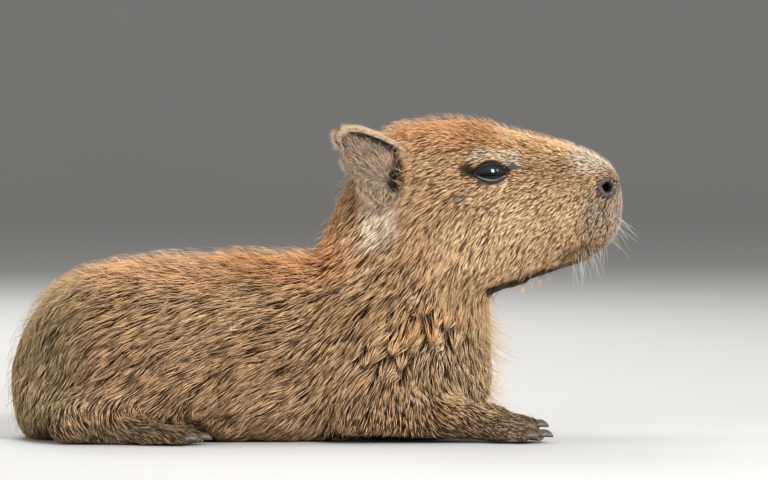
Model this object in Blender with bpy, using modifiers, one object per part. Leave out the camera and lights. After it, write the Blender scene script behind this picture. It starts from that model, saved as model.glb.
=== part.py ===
"""A young capybara at life size, lying on its belly with the head held up and level.

The animal faces +X, its left side is +Y and the floor is the plane Z = 0. Everything is in metres.
Trunk, neck and head are lofts through a few oval sections, fused with the limbs and smoothed as one
body. Its coat of flat locks is laid over a core, and thin cuts then part it into torso, neck, head, jaw
and legs. Feet, nails, ears and eyes are modelled by themselves and set against it.
"""

import math
import random
from collections import namedtuple

import bmesh
import bpy
from mathutils import Matrix, Vector
from mathutils.bvhtree import BVHTree

# Driving dimensions of the animal as it lies
TRUNK_LENGTH = 0.334
BACK_HEIGHT = 0.1275
TRUNK_WIDTH = 0.142
CHEST_AT = 0.126
HEAD_LENGTH = 0.183
HEAD_DEPTH = 0.122
HEAD_WIDTH = 0.096
NOSE_AT = 0.218
CROWN_HEIGHT = 0.223
EYE_RADIUS = 0.0150
EYE_AT = Vector((0.1235, 0.0275, 0.1845))
EAR_RADIUS = 0.0265

COAT_SEED = 7

# Gaps and resolutions
SEAT_GAP = 0.0003
VOXEL = 0.0028
RING_POINTS = 28
STEPS_BETWEEN = 4

Section = namedtuple("Section", "along top bottom width square sag")
Bar = namedtuple("Bar", "start end thick_start thick_end")


def clear_scene():
    for obj in list(bpy.data.objects):
        bpy.data.objects.remove(obj)


def collection(name, shown=True):
    made = bpy.data.collections.new(name)
    made.hide_render = not shown
    bpy.context.scene.collection.children.link(made)
    return made


def finish_material(name, colour, roughness):
    material = bpy.data.materials.new(name)
    material.use_nodes = True
    shader = material.node_tree.nodes["Principled BSDF"]
    shader.inputs["Base Color"].default_value = (*colour, 1.0)
    shader.inputs["Roughness"].default_value = roughness
    material.diffuse_color = (*colour, 1.0)
    return material


def object_from(bm, name, group):
    bmesh.ops.recalc_face_normals(bm, faces=bm.faces)
    mesh = bpy.data.meshes.new(name)
    bm.to_mesh(mesh)
    bm.free()
    obj = bpy.data.objects.new(name, mesh)
    group.objects.link(obj)
    return obj


def apply_modifiers(obj):
    graph = bpy.context.evaluated_depsgraph_get()
    mesh = bpy.data.meshes.new_from_object(obj.evaluated_get(graph))
    obj.modifiers.clear()
    obj.data = mesh
    return obj


def copy_of(obj, name, group):
    made = bpy.data.objects.new(name, obj.data.copy())
    group.objects.link(made)
    return made


# Sections and lofts


def between(a, b, c, d, t):
    """Catmull-Rom value between b and c."""
    return 0.5 * (
        2 * b + (c - a) * t + (2 * a - 5 * b + 4 * c - d) * t * t + (3 * b - a - 3 * c + d) * t**3
    )


def fill_in(sections):
    """The sections with smooth ones set between them."""
    last = len(sections) - 1
    filled = []
    for i in range(last):
        run = [sections[max(0, min(last, i + k))] for k in (-1, 0, 1, 2)]
        for step in range(STEPS_BETWEEN):
            values = [between(*four, step / STEPS_BETWEEN) for four in zip(*run)]
            filled.append(Section(*values))
    return filled + [sections[-1]]


def ring_points(section):
    """An oval in the plane of its top point, its bottom point and the Y axis."""
    top, bottom = Vector(section.top), Vector(section.bottom)
    centre, reach = (top + bottom) / 2, (top - bottom) / 2
    points = []
    for i in range(RING_POINTS):
        angle = 2 * math.pi * i / RING_POINTS
        up, side = math.cos(angle), math.sin(angle)
        up = math.copysign(abs(up) ** (2 / section.square), up)
        side = math.copysign(abs(side) ** (2 / section.square), side)
        up -= section.sag * (1 - up * up)
        points.append(centre + reach * up + Vector((0, section.width * side, 0)))
    return points


def loft(bm, sections):
    """A closed body through the sections."""
    rings = [[bm.verts.new(p) for p in ring_points(s)] for s in fill_in(sections)]
    for first, second in zip(rings, rings[1:]):
        for i in range(RING_POINTS):
            j = (i + 1) % RING_POINTS
            bm.faces.new((first[i], first[j], second[j], second[i]))
    bm.faces.new(rings[0])
    bm.faces.new(reversed(rings[-1]))


def in_profile(ahead, height):
    return Vector((ahead, 0, height))


def trunk_sections():
    """From the rump to the brisket. Heights are shares of the back's height, and widths of the trunk's."""
    shares = (
        (0.000, 0.42, 0.20, 0.20, 2.0, 0.0),
        (0.018, 0.56, 0.05, 0.44, 2.0, 0.1),
        (0.050, 0.71, -0.02, 0.64, 2.1, 0.2),
        (0.105, 0.84, -0.04, 0.80, 2.1, 0.2),
        (0.190, 0.93, -0.04, 0.92, 2.2, 0.2),
        (0.310, 0.98, -0.04, 0.98, 2.3, 0.2),
        (0.450, 1.00, -0.04, 1.00, 2.3, 0.2),
        (0.600, 1.00, -0.04, 0.97, 2.3, 0.2),
        (0.730, 0.96, -0.04, 0.88, 2.2, 0.2),
        (0.830, 0.86, -0.03, 0.80, 2.2, 0.2),
        (0.915, 0.72, 0.00, 0.68, 2.1, 0.1),
        (0.970, 0.58, 0.10, 0.48, 2.0, 0.0),
        (1.000, 0.44, 0.24, 0.22, 2.0, 0.0),
    )
    rump = CHEST_AT - TRUNK_LENGTH
    return [
        Section(
            along,
            in_profile(rump + along * TRUNK_LENGTH, top * BACK_HEIGHT),
            in_profile(rump + along * TRUNK_LENGTH, bottom * BACK_HEIGHT),
            width * TRUNK_WIDTH / 2,
            square,
            sag,
        )
        for along, top, bottom, width, square, sag in shares
    ]


def neck_sections():
    """Each has its nape point, its throat point and its half width."""
    nape_and_throat = (
        ((-0.030, 0.110), (0.108, 0.034), 0.056),
        ((0.003, 0.130), (0.125, 0.064), 0.053),
        ((0.014, 0.150), (0.126, 0.088), 0.049),
        ((0.023, 0.174), (0.124, 0.104), 0.046),
        ((0.038, 0.196), (0.116, 0.118), 0.040),
    )
    return [
        Section(i, in_profile(*nape), in_profile(*throat), width, 2.1, 0.0)
        for i, (nape, throat, width) in enumerate(nape_and_throat)
    ]


def head_sections():
    """From the back of the skull to the nose. Depths are shares below the crown, widths of the head's."""
    shares = (
        (0.000, 0.340, 0.640, 0.60, 2.0, 0.0),
        (0.070, 0.130, 0.800, 0.85, 2.3, 0.1),
        (0.170, 0.040, 0.920, 0.97, 2.5, 0.1),
        (0.290, 0.008, 0.985, 1.01, 2.6, 0.2),
        (0.400, 0.000, 1.000, 0.99, 2.6, 0.2),
        (0.500, 0.030, 0.995, 0.93, 2.5, 0.2),
        (0.600, 0.068, 0.955, 0.86, 2.5, 0.2),
        (0.700, 0.100, 0.905, 0.79, 2.6, 0.2),
        (0.790, 0.135, 0.860, 0.74, 2.8, 0.2),
        (0.870, 0.180, 0.815, 0.72, 3.0, 0.2),
        (0.930, 0.225, 0.755, 0.69, 3.0, 0.2),
        (0.968, 0.275, 0.700, 0.62, 2.8, 0.1),
        (0.990, 0.335, 0.630, 0.48, 2.5, 0.0),
        (1.000, 0.420, 0.540, 0.26, 2.2, 0.0),
    )
    back = NOSE_AT - HEAD_LENGTH
    return [
        Section(
            along,
            in_profile(back + along * HEAD_LENGTH, CROWN_HEIGHT - top * HEAD_DEPTH),
            in_profile(back + along * HEAD_LENGTH, CROWN_HEIGHT - bottom * HEAD_DEPTH),
            width * HEAD_WIDTH / 2,
            square,
            sag,
        )
        for along, top, bottom, width, square, sag in shares
    ]


def ball(bm, centre, reach):
    """An ellipsoid with the given reach along X, Y and Z."""
    place = Matrix.Translation(centre) @ Matrix.Diagonal((*reach, 1.0))
    bmesh.ops.create_uvsphere(bm, u_segments=24, v_segments=16, radius=1.0, matrix=place)


def bar(bm, piece):
    """A round bar that tapers from one ball to another."""
    start, end = Vector(piece.start), Vector(piece.end)
    ball(bm, start, (piece.thick_start,) * 3)
    ball(bm, end, (piece.thick_end,) * 3)
    along = end - start
    turn = along.to_track_quat("Z", "Y").to_matrix().to_4x4()
    place = Matrix.Translation((start + end) / 2) @ turn
    bmesh.ops.create_cone(
        bm,
        cap_ends=True,
        segments=24,
        radius1=piece.thick_start,
        radius2=piece.thick_end,
        depth=along.length,
        matrix=place,
    )


def mirrored(point, side):
    return Vector((point[0], point[1] * side, point[2]))


def fused(obj, voxel, rounds):
    """Overlapping bodies made one skin, with the creases between them smoothed."""
    remesh = obj.modifiers.new("fuse", "REMESH")
    remesh.mode = "VOXEL"
    remesh.voxel_size = voxel
    soften(obj, rounds)
    return apply_modifiers(obj)


def soften(obj, rounds, where=None):
    """Smooths the surface, all of it or where the group of vertices has weight."""
    smooth = obj.modifiers.new("soften", "SMOOTH")
    smooth.factor = 0.5
    smooth.iterations = rounds
    if where:
        smooth.vertex_group = where.name


def thinned(obj, triangles):
    """The same shape with about this many triangles."""
    obj.data.calc_loop_triangles()
    decimate = obj.modifiers.new("thin", "DECIMATE")
    decimate.ratio = min(1.0, triangles / len(obj.data.loop_triangles))
    decimate.use_collapse_triangulate = True
    return apply_modifiers(obj)


def trimmed(obj, point, outward):
    """What lies behind the plane, closed with a flat face."""
    bm = bmesh.new()
    bm.from_mesh(obj.data)
    whole = bm.verts[:] + bm.edges[:] + bm.faces[:]
    cut = bmesh.ops.bisect_plane(
        bm, geom=whole, dist=1e-7, plane_co=point, plane_no=outward, clear_outer=True
    )
    rim = [e for e in cut["geom_cut"] if isinstance(e, bmesh.types.BMEdge)]
    bmesh.ops.holes_fill(bm, edges=rim, sides=0)
    bmesh.ops.triangulate(bm, faces=bm.faces)
    bm.to_mesh(obj.data)
    bm.free()
    return obj


def surface_tree(obj):
    places = [v.co for v in obj.data.vertices]
    return BVHTree.FromPolygons(places, [p.vertices for p in obj.data.polygons])


def largest_only(obj):
    """Drops every loose scrap but the largest closed surface."""
    bm = bmesh.new()
    bm.from_mesh(obj.data)
    bm.verts.ensure_lookup_table()
    seen, groups = set(), []
    for start in bm.verts:
        if start in seen:
            continue
        seen.add(start)
        group, todo = [], [start]
        while todo:
            vert = todo.pop()
            group.append(vert)
            for edge in vert.link_edges:
                other = edge.other_vert(vert)
                if other not in seen:
                    seen.add(other)
                    todo.append(other)
        groups.append(group)
    groups.sort(key=len)
    for group in groups[:-1]:
        bmesh.ops.delete(bm, geom=group, context="VERTS")
    bm.to_mesh(obj.data)
    bm.free()
    return obj


def boolean(obj, other, operation, solver="EXACT"):
    cut = obj.modifiers.new("shape", "BOOLEAN")
    cut.operation = operation
    cut.solver = solver
    cut.object = other
    return apply_modifiers(obj)


def joined(obj, pieces, solver="MANIFOLD"):
    """One union of the object with every piece of a collection, which is emptied."""
    union = obj.modifiers.new("join", "BOOLEAN")
    union.operation = "UNION"
    union.operand_type = "COLLECTION"
    union.collection = pieces
    union.solver = solver
    apply_modifiers(obj)
    for piece in list(pieces.objects):
        bpy.data.objects.remove(piece)
    bpy.data.collections.remove(pieces)
    return obj


def behind_plane(obj, point, outward, group):
    """What lies behind the plane, also where the cut runs through locks."""
    turn = outward.to_track_quat("Z", "Y").to_matrix().to_4x4()
    bm = bmesh.new()
    place = Matrix.Translation(point) @ turn @ Matrix.Translation((0, 0, 0.5))
    bmesh.ops.create_cube(bm, size=1.0, matrix=place)
    return boolean(obj, object_from(bm, "half_space", group), "DIFFERENCE", "MANIFOLD")


def grown(obj, gap, group):
    """A copy that stands this far proud all round."""
    made = copy_of(obj, obj.name + "_grown", group)
    made.data.update()
    normals = [v.normal.copy() for v in made.data.vertices]
    for vert, normal in zip(made.data.vertices, normals):
        vert.co += normal * gap
    return made


def seated(obj, carrier, group, gap=2 * SEAT_GAP):
    """Cut back to stand face to face with what carries it."""
    cutter = grown(carrier, gap, group)
    boolean(obj, cutter, "DIFFERENCE")
    bpy.data.objects.remove(cutter)
    return largest_only(obj)


# Trunk, neck and head as one body

# Shoulder, elbow and wrist, then hip, knee and hock, on the left side
FORE_JOINTS = (Vector((0.056, 0.040, 0.064)), Vector((0.032, 0.056, 0.025)), Vector((0.112, 0.049, 0.0145)))
FORE_REACHES = (0.031, 0.027, 0.021)
HIND_JOINTS = (Vector((-0.136, 0.034, 0.066)), Vector((-0.080, 0.052, 0.044)), Vector((-0.162, 0.060, 0.0175)))
HIND_REACHES = (0.048, 0.036, 0.026)
LEG_CLEARANCE = 0.008
LEG_CUT_OUT = 0.030

NAPE_CUT = (in_profile(0.024, 0.178), in_profile(0.131, 0.098))
WITHERS_CUT = (in_profile(-0.006, 0.131), in_profile(0.131, 0.062))


def cut_plane(line):
    """A point on the cut, and the direction square to it that points up to the head."""
    run = (line[1] - line[0]).normalized()
    return line[0], Vector((-run.z, 0, run.x))


def limb_bars(side):
    """Upper arm, forearm, thigh and shank, as they show under the skin."""
    hip, knee, hock = HIND_JOINTS
    shoulder, elbow, wrist = FORE_JOINTS
    bars = (
        Bar(shoulder, elbow, 0.028, 0.021),
        Bar(elbow, wrist, 0.0200, 0.0135),
        Bar(hip, knee, 0.045, 0.031),
        Bar(knee + Vector((0, 0, -0.008)), hock, 0.026, 0.0165),
    )
    return [b._replace(start=mirrored(b.start, side), end=mirrored(b.end, side)) for b in bars]


def press(obj, centre, reach, push):
    """Moves the surface round a place, both sides alike, most at its middle and less towards its reach."""
    for vert in obj.data.vertices:
        side = -1 if vert.co.y < 0 else 1
        away = mirrored(vert.co, side) - Vector(centre)
        far = sum((away[i] / reach[i]) ** 2 for i in range(3))
        if far < 4:
            vert.co += mirrored(push, side) * math.exp(-far * 1.6)


def model_head(body):
    """Hollows and swellings of the face: round the eye, along the cheek, nose, lips and under the jaw."""
    eye = EYE_AT
    presses = (
        (eye + Vector((0.0150, 0.016, 0.0005)), (0.009, 0.012, 0.008), (0, -0.0034, 0)),
        (eye + Vector((-0.0145, 0.016, -0.001)), (0.009, 0.012, 0.008), (0, -0.0030, 0)),
        (eye + Vector((0.000, 0.014, -0.0150)), (0.018, 0.014, 0.008), (0, -0.0018, 0)),
        ((0.160, 0.038, 0.176), (0.024, 0.016, 0.018), (0, -0.0024, 0)),
        ((0.150, 0.036, 0.126), (0.034, 0.018, 0.016), (0, -0.0026, 0.001)),
        ((0.203, 0.024, 0.184), (0.014, 0.014, 0.010), (0.0016, 0.0022, 0.0012)),
        ((0.200, 0.028, 0.145), (0.018, 0.014, 0.018), (0.0012, 0.0030, -0.0010)),
        ((0.217, 0.000, 0.156), (0.012, 0.0042, 0.026), (-0.0026, 0, 0)),
        ((0.217, 0.000, 0.186), (0.012, 0.0070, 0.010), (-0.0014, 0, 0)),
        ((0.188, 0.030, 0.116), (0.030, 0.012, 0.010), (0, -0.0060, 0.0010)),
        ((0.059, 0.045, 0.188), (0.018, 0.016, 0.022), (0, -0.0075, 0)),
    )
    for centre, reach, push in presses:
        press(body, centre, reach, push)


def soften_trunk(body):
    """Smooths the trunk and limbs more than the neck, and leaves the head."""
    group = body.vertex_groups.new(name="trunk")
    for vert in body.data.vertices:
        below = (0.125 - vert.co.z) / 0.03
        behind = (0.120 - vert.co.x) / 0.03
        group.add([vert.index], max(0.0, min(1.0, below, behind)), "REPLACE")
    soften(body, 26, group)
    return apply_modifiers(body)


def whole_body(group):
    bm = bmesh.new()
    loft(bm, trunk_sections())
    loft(bm, neck_sections())
    loft(bm, head_sections())
    for side in (-1, 1):
        # Cheek over the jaw, brow over the eye and the puffed upper lip
        ball(bm, mirrored((0.092, 0.022, 0.142), side), (0.036, 0.025, 0.032))
        ball(bm, mirrored((0.120, 0.020, 0.196), side), (0.032, 0.0180, 0.0170))
        ball(bm, mirrored(EYE_AT, side), (EYE_RADIUS + 0.0030,) * 3)
        ball(bm, mirrored((0.190, 0.018, 0.150), side), (0.022, 0.0170, 0.026))
        # The broad crown between the ears
        ball(bm, mirrored((0.080, 0.026, 0.193), side), (0.044, 0.0215, 0.026))
        # Shoulder and hip under the skin
        ball(bm, mirrored((0.048, 0.034, 0.068), side), (0.058, 0.030, 0.052))
        ball(bm, mirrored((-0.128, 0.030, 0.074), side), (0.066, 0.042, 0.046))
        for piece in limb_bars(side):
            bar(bm, piece)
    body = fused(object_from(bm, "body", group), VOXEL, 12)
    soften_trunk(body)
    model_head(body)
    return trimmed(body, Vector((0, 0, 0)), Vector((0, 0, -1)))


def leg_block(joints, reaches, side, grow, group):
    """A rounded block round two joints, open to the outside and clear of the animal's middle."""
    unit = bmesh.new()
    bmesh.ops.create_icosphere(unit, subdivisions=2, radius=1.0)
    bm = bmesh.new()
    for joint, reach in zip(joints, reaches):
        inward = min(reach, joint.y - LEG_CLEARANCE)
        for vert in unit.verts:
            offset = vert.co * (reach + grow)
            if offset.y < 0:
                offset.y = vert.co.y * (inward + grow)
            else:
                offset.y += LEG_CUT_OUT
            bm.verts.new(mirrored(joint + offset, side))
    unit.free()
    hull = bmesh.ops.convex_hull(bm, input=bm.verts)
    inside = [g for g in hull["geom_interior"] if isinstance(g, bmesh.types.BMVert)]
    bmesh.ops.delete(bm, geom=inside, context="VERTS")
    return object_from(bm, "leg_block", group)


def leg_region(joints, reaches, side, grow, group):
    """A block that holds one leg and a little of the flesh it grows from."""
    upper = leg_block(joints[:2], reaches[:2], side, grow, group)
    lower = leg_block(joints[1:], reaches[1:], side, grow, group)
    return boolean(upper, lower, "UNION")


def build_leg(body, name, joints, reaches, side, parts, scratch):
    leg = copy_of(body, name, parts)
    boolean(leg, leg_region(joints, reaches, side, 0.0, scratch), "INTERSECT", "MANIFOLD")
    return largest_only(leg)


def build_trunk(body, parts, scratch):
    point, up = cut_plane(WITHERS_CUT)
    trunk = copy_of(body, "torso", parts)
    behind_plane(trunk, point - up * SEAT_GAP, up, scratch)
    for side in (-1, 1):
        for joints, reaches in ((FORE_JOINTS, FORE_REACHES), (HIND_JOINTS, HIND_REACHES)):
            region = leg_region(joints, reaches, side, SEAT_GAP, scratch)
            boolean(trunk, region, "DIFFERENCE", "MANIFOLD")
    return largest_only(trunk)


def build_neck(body, parts, scratch):
    low_point, up = cut_plane(WITHERS_CUT)
    high_point, head_up = cut_plane(NAPE_CUT)
    neck = copy_of(body, "neck", parts)
    behind_plane(neck, low_point, -up, scratch)
    behind_plane(neck, high_point - head_up * SEAT_GAP, head_up, scratch)
    return largest_only(neck)


# Coat

COAT_DEPTH = 0.0085
CORE_INSET = COAT_DEPTH / 2
LOCK_SPACING = 0.0238
LOCK_LENGTH = (0.040, 0.052)
LOCK_WIDTH = (0.018, 0.023)
LOCK_THICK = 0.0026
LOCK_ROOT = 0.0024
# A lock that would bend further than this, in a crease, is kept shorter
LOCK_BEND = math.radians(42)
# Rings of a lock: share of its length, of its width, of its thickness
LOCK_RINGS = ((0.0, 0.55, 0.9), (0.34, 1.0, 1.0), (0.72, 0.60, 0.7))

# The lie of the coat on the left side, as places and the way the hair points there
COMB = (
    ((0.022, 0.020, 0.172), (-0.50, 0.10, -0.85)),
    ((0.006, 0.020, 0.138), (-0.85, 0.15, -0.50)),
    ((-0.030, 0.020, 0.128), (-1.00, 0.15, -0.10)),
    ((-0.100, 0.020, 0.128), (-1.00, 0.15, -0.05)),
    ((-0.160, 0.030, 0.112), (-0.85, 0.20, -0.45)),
    ((-0.202, 0.020, 0.070), (-0.35, 0.10, -0.95)),
    ((-0.190, 0.045, 0.050), (-0.55, 0.10, -0.85)),
    ((-0.030, 0.068, 0.085), (-1.00, 0.00, -0.35)),
    ((-0.020, 0.072, 0.040), (-0.90, 0.00, -0.45)),
    ((-0.130, 0.070, 0.080), (-0.85, 0.00, -0.50)),
    ((-0.130, 0.075, 0.045), (-0.80, 0.00, -0.60)),
    ((0.050, 0.058, 0.090), (-0.65, 0.00, -0.80)),
    ((0.045, 0.066, 0.050), (-0.50, 0.00, -0.85)),
    ((0.060, 0.045, 0.130), (-0.60, 0.00, -0.80)),
    ((0.100, 0.040, 0.100), (-0.35, 0.00, -0.95)),
    ((0.122, 0.012, 0.080), (0.10, 0.00, -1.00)),
    ((0.100, 0.045, 0.050), (0.00, 0.00, -1.00)),
)


def eased(value, start, end):
    """Rises smoothly from 0 at the start to 1 at the end."""
    share = max(0.0, min(1.0, (value - start) / (end - start)))
    return share * share * (3 - 2 * share)


def coat_share(place):
    """1 where the coat is long, 0 on the head and feet and under the belly."""
    nape, up = cut_plane(NAPE_CUT)
    left = mirrored(place, -1 if place.y < 0 else 1)
    share = eased((nape - place).dot(up), 0.000, 0.012)
    share *= eased(place.z, 0.006, 0.022)
    share *= eased((left - FORE_JOINTS[2]).length, 0.030, 0.060)
    return share * eased((left - HIND_JOINTS[2]).length, 0.026, 0.045)


def lie_of_coat(place, normal):
    """The way the hair points at a place, along the surface."""
    side = -1 if place.y < 0 else 1
    left = mirrored(place, side)
    total = Vector()
    for anchor, way in COMB:
        near = (left - Vector(anchor)).length_squared
        total += Vector(way).normalized() / (near + 0.0002) ** 1.5
    way = mirrored(total, side)
    return (way - normal * way.dot(normal)).normalized()


def scattered(obj, spacing, draw):
    """Places on the coated surface, no two nearer than the spacing, from seeded draws."""
    mesh = obj.data
    mesh.calc_loop_triangles()
    corners = [[mesh.vertices[i].co for i in t.vertices] for t in mesh.loop_triangles]
    areas = [t.area for t in mesh.loop_triangles]
    places = []
    for a, b, c in draw.choices(corners, areas, k=9000):
        u, v = draw.random(), draw.random()
        if u + v > 1:
            u, v = 1 - u, 1 - v
        place = a + (b - a) * u + (c - a) * v
        if coat_share(place) < 0.45:
            continue
        if all((place - other).length > spacing for other in places):
            places.append(place)
    return places


def lock_line(tree, root, length, turn):
    """Points down the middle of a lock, with the way out of the body at each."""
    steps = 12
    place, normal = tree.find_nearest(root)[:2]
    line = [(place, normal)]
    for _ in range(steps):
        way = Matrix.Rotation(turn, 3, normal) @ lie_of_coat(place, normal)
        place, normal = tree.find_nearest(place + way * (length / steps))[:2]
        line.append((place, normal))
    return line


def add_lock(tree, root, draw, group):
    """A flat tapered lock, sunk in the core at its root and out to the coat's surface at its tip."""
    share = coat_share(root)
    length = draw.uniform(*LOCK_LENGTH) * (0.6 + 0.4 * share)
    width = draw.uniform(*LOCK_WIDTH)
    turn = math.radians(draw.uniform(-11, 11))
    line = lock_line(tree, root, length, turn)
    if line[0][1].angle(line[-1][1]) > LOCK_BEND:
        line = lock_line(tree, root, length * 0.6, turn)
    if min(place.z for place, _ in line) < 0.006:
        return
    last = len(line) - 1
    bm = bmesh.new()
    rings = []
    for along, wide, thick in LOCK_RINGS:
        at = round(along * last)
        place, normal = line[at]
        onward = (line[min(at + 1, last)][0] - line[max(at - 1, 0)][0]).normalized()
        across = normal.cross(onward).normalized() * (width / 2 * wide)
        depth = (CORE_INSET * coat_share(place) + LOCK_ROOT) * (1 - along)
        middle = place - normal * (depth + LOCK_THICK * 0.3 * along)
        proud = normal * (LOCK_THICK * thick)
        under = middle - proud * 0.4
        rings.append([bm.verts.new(p) for p in (under + across, middle + proud * 0.6, under - across)])
    tip = bm.verts.new(line[last][0] + line[last][1] * draw.uniform(-0.0004, 0.0008))
    bm.faces.new(rings[0])
    for first, second in zip(rings, rings[1:]):
        for i in range(3):
            j = (i + 1) % 3
            bm.faces.new((first[i], first[j], second[j], second[i]))
    for i in range(3):
        bm.faces.new((rings[-1][i], rings[-1][(i + 1) % 3], tip))
    bmesh.ops.triangulate(bm, faces=bm.faces)
    object_from(bm, "lock", group)


def coated(body, scratch):
    """The body drawn in by half the coat's depth, with locks that lie over it out to its old surface."""
    draw = random.Random(COAT_SEED)
    tree = surface_tree(body)
    locks = collection("locks", shown=False)
    for root in scattered(body, LOCK_SPACING, draw):
        add_lock(tree, root, draw, locks)
    core = copy_of(body, "core", scratch)
    normals = [v.normal.copy() for v in core.data.vertices]
    for vert, normal in zip(core.data.vertices, normals):
        vert.co -= normal * (CORE_INSET * coat_share(vert.co))
    return largest_only(joined(core, locks))


# Mouth line in profile, from under the nose back to the corner of the mouth and on to the throat
LIP_FRONT = in_profile(0.2040, 0.1275)
LIP_CORNER = in_profile(0.1660, 0.1180)
JAW_HINGE = in_profile(0.1180, 0.1060)
NOSTRIL_AT = in_profile(0.2072, 0.1764)
NOSTRIL_INWARD = (-0.45, -0.88, -0.10)


def jaw_wedge(group, grow):
    below = Vector((0, 0, -0.030))
    ahead = Vector((0.030, 0, 0.006))
    up = Vector((0, 0, grow))
    line = [JAW_HINGE + up - Vector((0.02, 0, 0.005)), JAW_HINGE + up, LIP_CORNER + up, LIP_FRONT + up]
    line.append(LIP_FRONT + up + ahead)
    line.append(LIP_FRONT + ahead + below)
    line.append(JAW_HINGE + below - Vector((0.02, 0, 0.005)))
    return drawn_out(line, -HEAD_WIDTH, 2 * HEAD_WIDTH, "jaw_cutter", group)


# The opening of the lids: its middle, seen from the eye's, its half length, and its reach up and down
LIDS_FROM_EYE = in_profile(0.0026, 0.0020)
LIDS_HALF_LENGTH = 0.0112
LIDS_RISE = 0.0048
LIDS_DROP = 0.0054


def almond(grow):
    """The eye's opening seen from the side, widened by this much, as points round the eye's middle."""
    count = 10
    points = []
    for i in range(2 * count):
        turn = math.pi * i / count
        along = math.cos(turn)
        reach = (LIDS_RISE if i < count else LIDS_DROP) + grow
        height = reach * math.sin(turn) * (1 - 0.2 * along * along)
        points.append(LIDS_FROM_EYE + Vector(((LIDS_HALF_LENGTH + grow) * along, 0, height)))
    return points


def drawn_out(points, start, length, name, group):
    """A flat outline drawn out along Y."""
    bm = bmesh.new()
    face = bm.faces.new([bm.verts.new(p + Vector((0, start, 0))) for p in points])
    out = bmesh.ops.extrude_face_region(bm, geom=[face])
    moved = [v for v in out["geom"] if isinstance(v, bmesh.types.BMVert)]
    bmesh.ops.translate(bm, verts=moved, vec=(0, length, 0))
    return object_from(bm, name, group)


def lid_rim(side, group):
    """A rounded edge that runs round the opening on the ball of the eye."""
    centre = mirrored(EYE_AT, side)
    bm = bmesh.new()
    loops = []
    outline = almond(0.0010)
    for i, point in enumerate(outline):
        reach = EYE_RADIUS + 0.0007
        out = math.sqrt(max(reach**2 - point.length_squared, 0.0070**2))
        place = point + Vector((0, side * out, 0))
        onward = (outline[(i + 1) % len(outline)] - outline[i - 1]).normalized()
        proud = place.normalized()
        across = onward.cross(proud).normalized()
        thick = 0.0019 if point.z > LIDS_FROM_EYE.z else 0.0015
        ring = []
        for k in range(6):
            turn = math.pi * k / 3
            lift = proud * math.cos(turn) + across * math.sin(turn)
            ring.append(bm.verts.new(centre + place + lift * thick))
        loops.append(ring)
    for first, second in zip(loops, loops[1:] + loops[:1]):
        for k in range(6):
            j = (k + 1) % 6
            bm.faces.new((first[k], first[j], second[j], second[k]))
    return object_from(bm, "lid_rim", group)


def eye_lids(head, scratch):
    """Lids stand round each eye as a rim, with an almond opening through to the ball."""
    for side in (-1, 1):
        centre = mirrored(EYE_AT, side)
        boolean(head, lid_rim(side, scratch), "UNION")
        outline = [centre + p for p in almond(0.0)]
        opening = drawn_out(outline, side * 0.004, side * 0.03, "lid_opening", scratch)
        boolean(head, opening, "DIFFERENCE")
        bm = bmesh.new()
        reach = EYE_RADIUS + SEAT_GAP
        place = Matrix.Translation(centre)
        bmesh.ops.create_uvsphere(bm, u_segments=16, v_segments=10, radius=reach, matrix=place)
        boolean(head, object_from(bm, "eye_socket", scratch), "DIFFERENCE")


def nostrils(head, scratch):
    """Commas that open ahead and to the side, with the tail drawn up and back."""
    tree = surface_tree(head)
    for side in (-1, 1):
        inward = mirrored(NOSTRIL_INWARD, side).normalized()
        beside = NOSTRIL_AT + Vector((0, side * HEAD_WIDTH, 0))
        start = tree.ray_cast(beside, Vector((0, -side, 0)))[0]
        bm = bmesh.new()
        bar(bm, Bar(start - inward * 0.001, start + inward * 0.012, 0.0035, 0.0018))
        tail = start + mirrored((-0.0075, 0.0030, 0.0030), side)
        bar(bm, Bar(start, tail, 0.0028, 0.0012))
        cutter = object_from(bm, "nostril", scratch)
        fused(cutter, 0.0008, 2)
        thinned(cutter, 110)
        boolean(head, cutter, "DIFFERENCE")


def build_head(body, parts, scratch):
    point, up = cut_plane(NAPE_CUT)
    head = copy_of(body, "head", parts)
    trimmed(head, point, -up)
    jaw = copy_of(head, "lower_jaw", parts)
    boolean(head, jaw_wedge(scratch, SEAT_GAP), "DIFFERENCE")
    largest_only(head)
    boolean(jaw, jaw_wedge(scratch, 0.0), "INTERSECT")
    largest_only(jaw)
    # The upper lip overhangs the lower one
    jaw.data.transform(Matrix.Diagonal((1.0, 0.93, 1.0, 1.0)))
    trimmed(jaw, LIP_FRONT - Vector((0.0025, 0, 0)), Vector((1, 0, 0)))
    eye_lids(head, scratch)
    nostrils(head, scratch)
    return largest_only(head), jaw


def build_eye(side, name, parts):
    bm = bmesh.new()
    place = Matrix.Translation(mirrored(EYE_AT, side))
    bmesh.ops.create_uvsphere(bm, u_segments=16, v_segments=10, radius=EYE_RADIUS, matrix=place)
    return object_from(bm, name, parts)


# Ears

EAR_AT = Vector((0.0435, 0.0505, 0.1925))
EAR_FACING = Vector((0.30, 0.90, 0.30))
EAR_DEPTH = 0.0125
EAR_THICK = 0.0022
# The rim from the tip over the upper edge, down the front, and up the hind edge, in shares of the radius
EAR_RIM = (
    (1.10, 0.80),
    (0.78, 1.02),
    (0.40, 1.04),
    (0.00, 0.93),
    (-0.42, 0.76),
    (-0.78, 0.56),
    (-1.00, 0.28),
    (-1.00, -0.08),
    (-0.86, -0.46),
    (-0.70, -0.84),
    (-0.45, -1.06),
    (-0.10, -0.98),
    (0.22, -0.74),
    (0.52, -0.48),
    (0.80, -0.22),
    (0.96, 0.10),
    (1.06, 0.46),
)


def ear_axes(side):
    """The way the ear faces, and the back and the up of its rim."""
    facing = mirrored(EAR_FACING, side).normalized()
    behind = Vector((-1, 0, 0))
    behind = (behind - facing * behind.dot(facing)).normalized()
    above = facing.cross(behind)
    return facing, behind, above if above.z > 0 else -above


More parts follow.
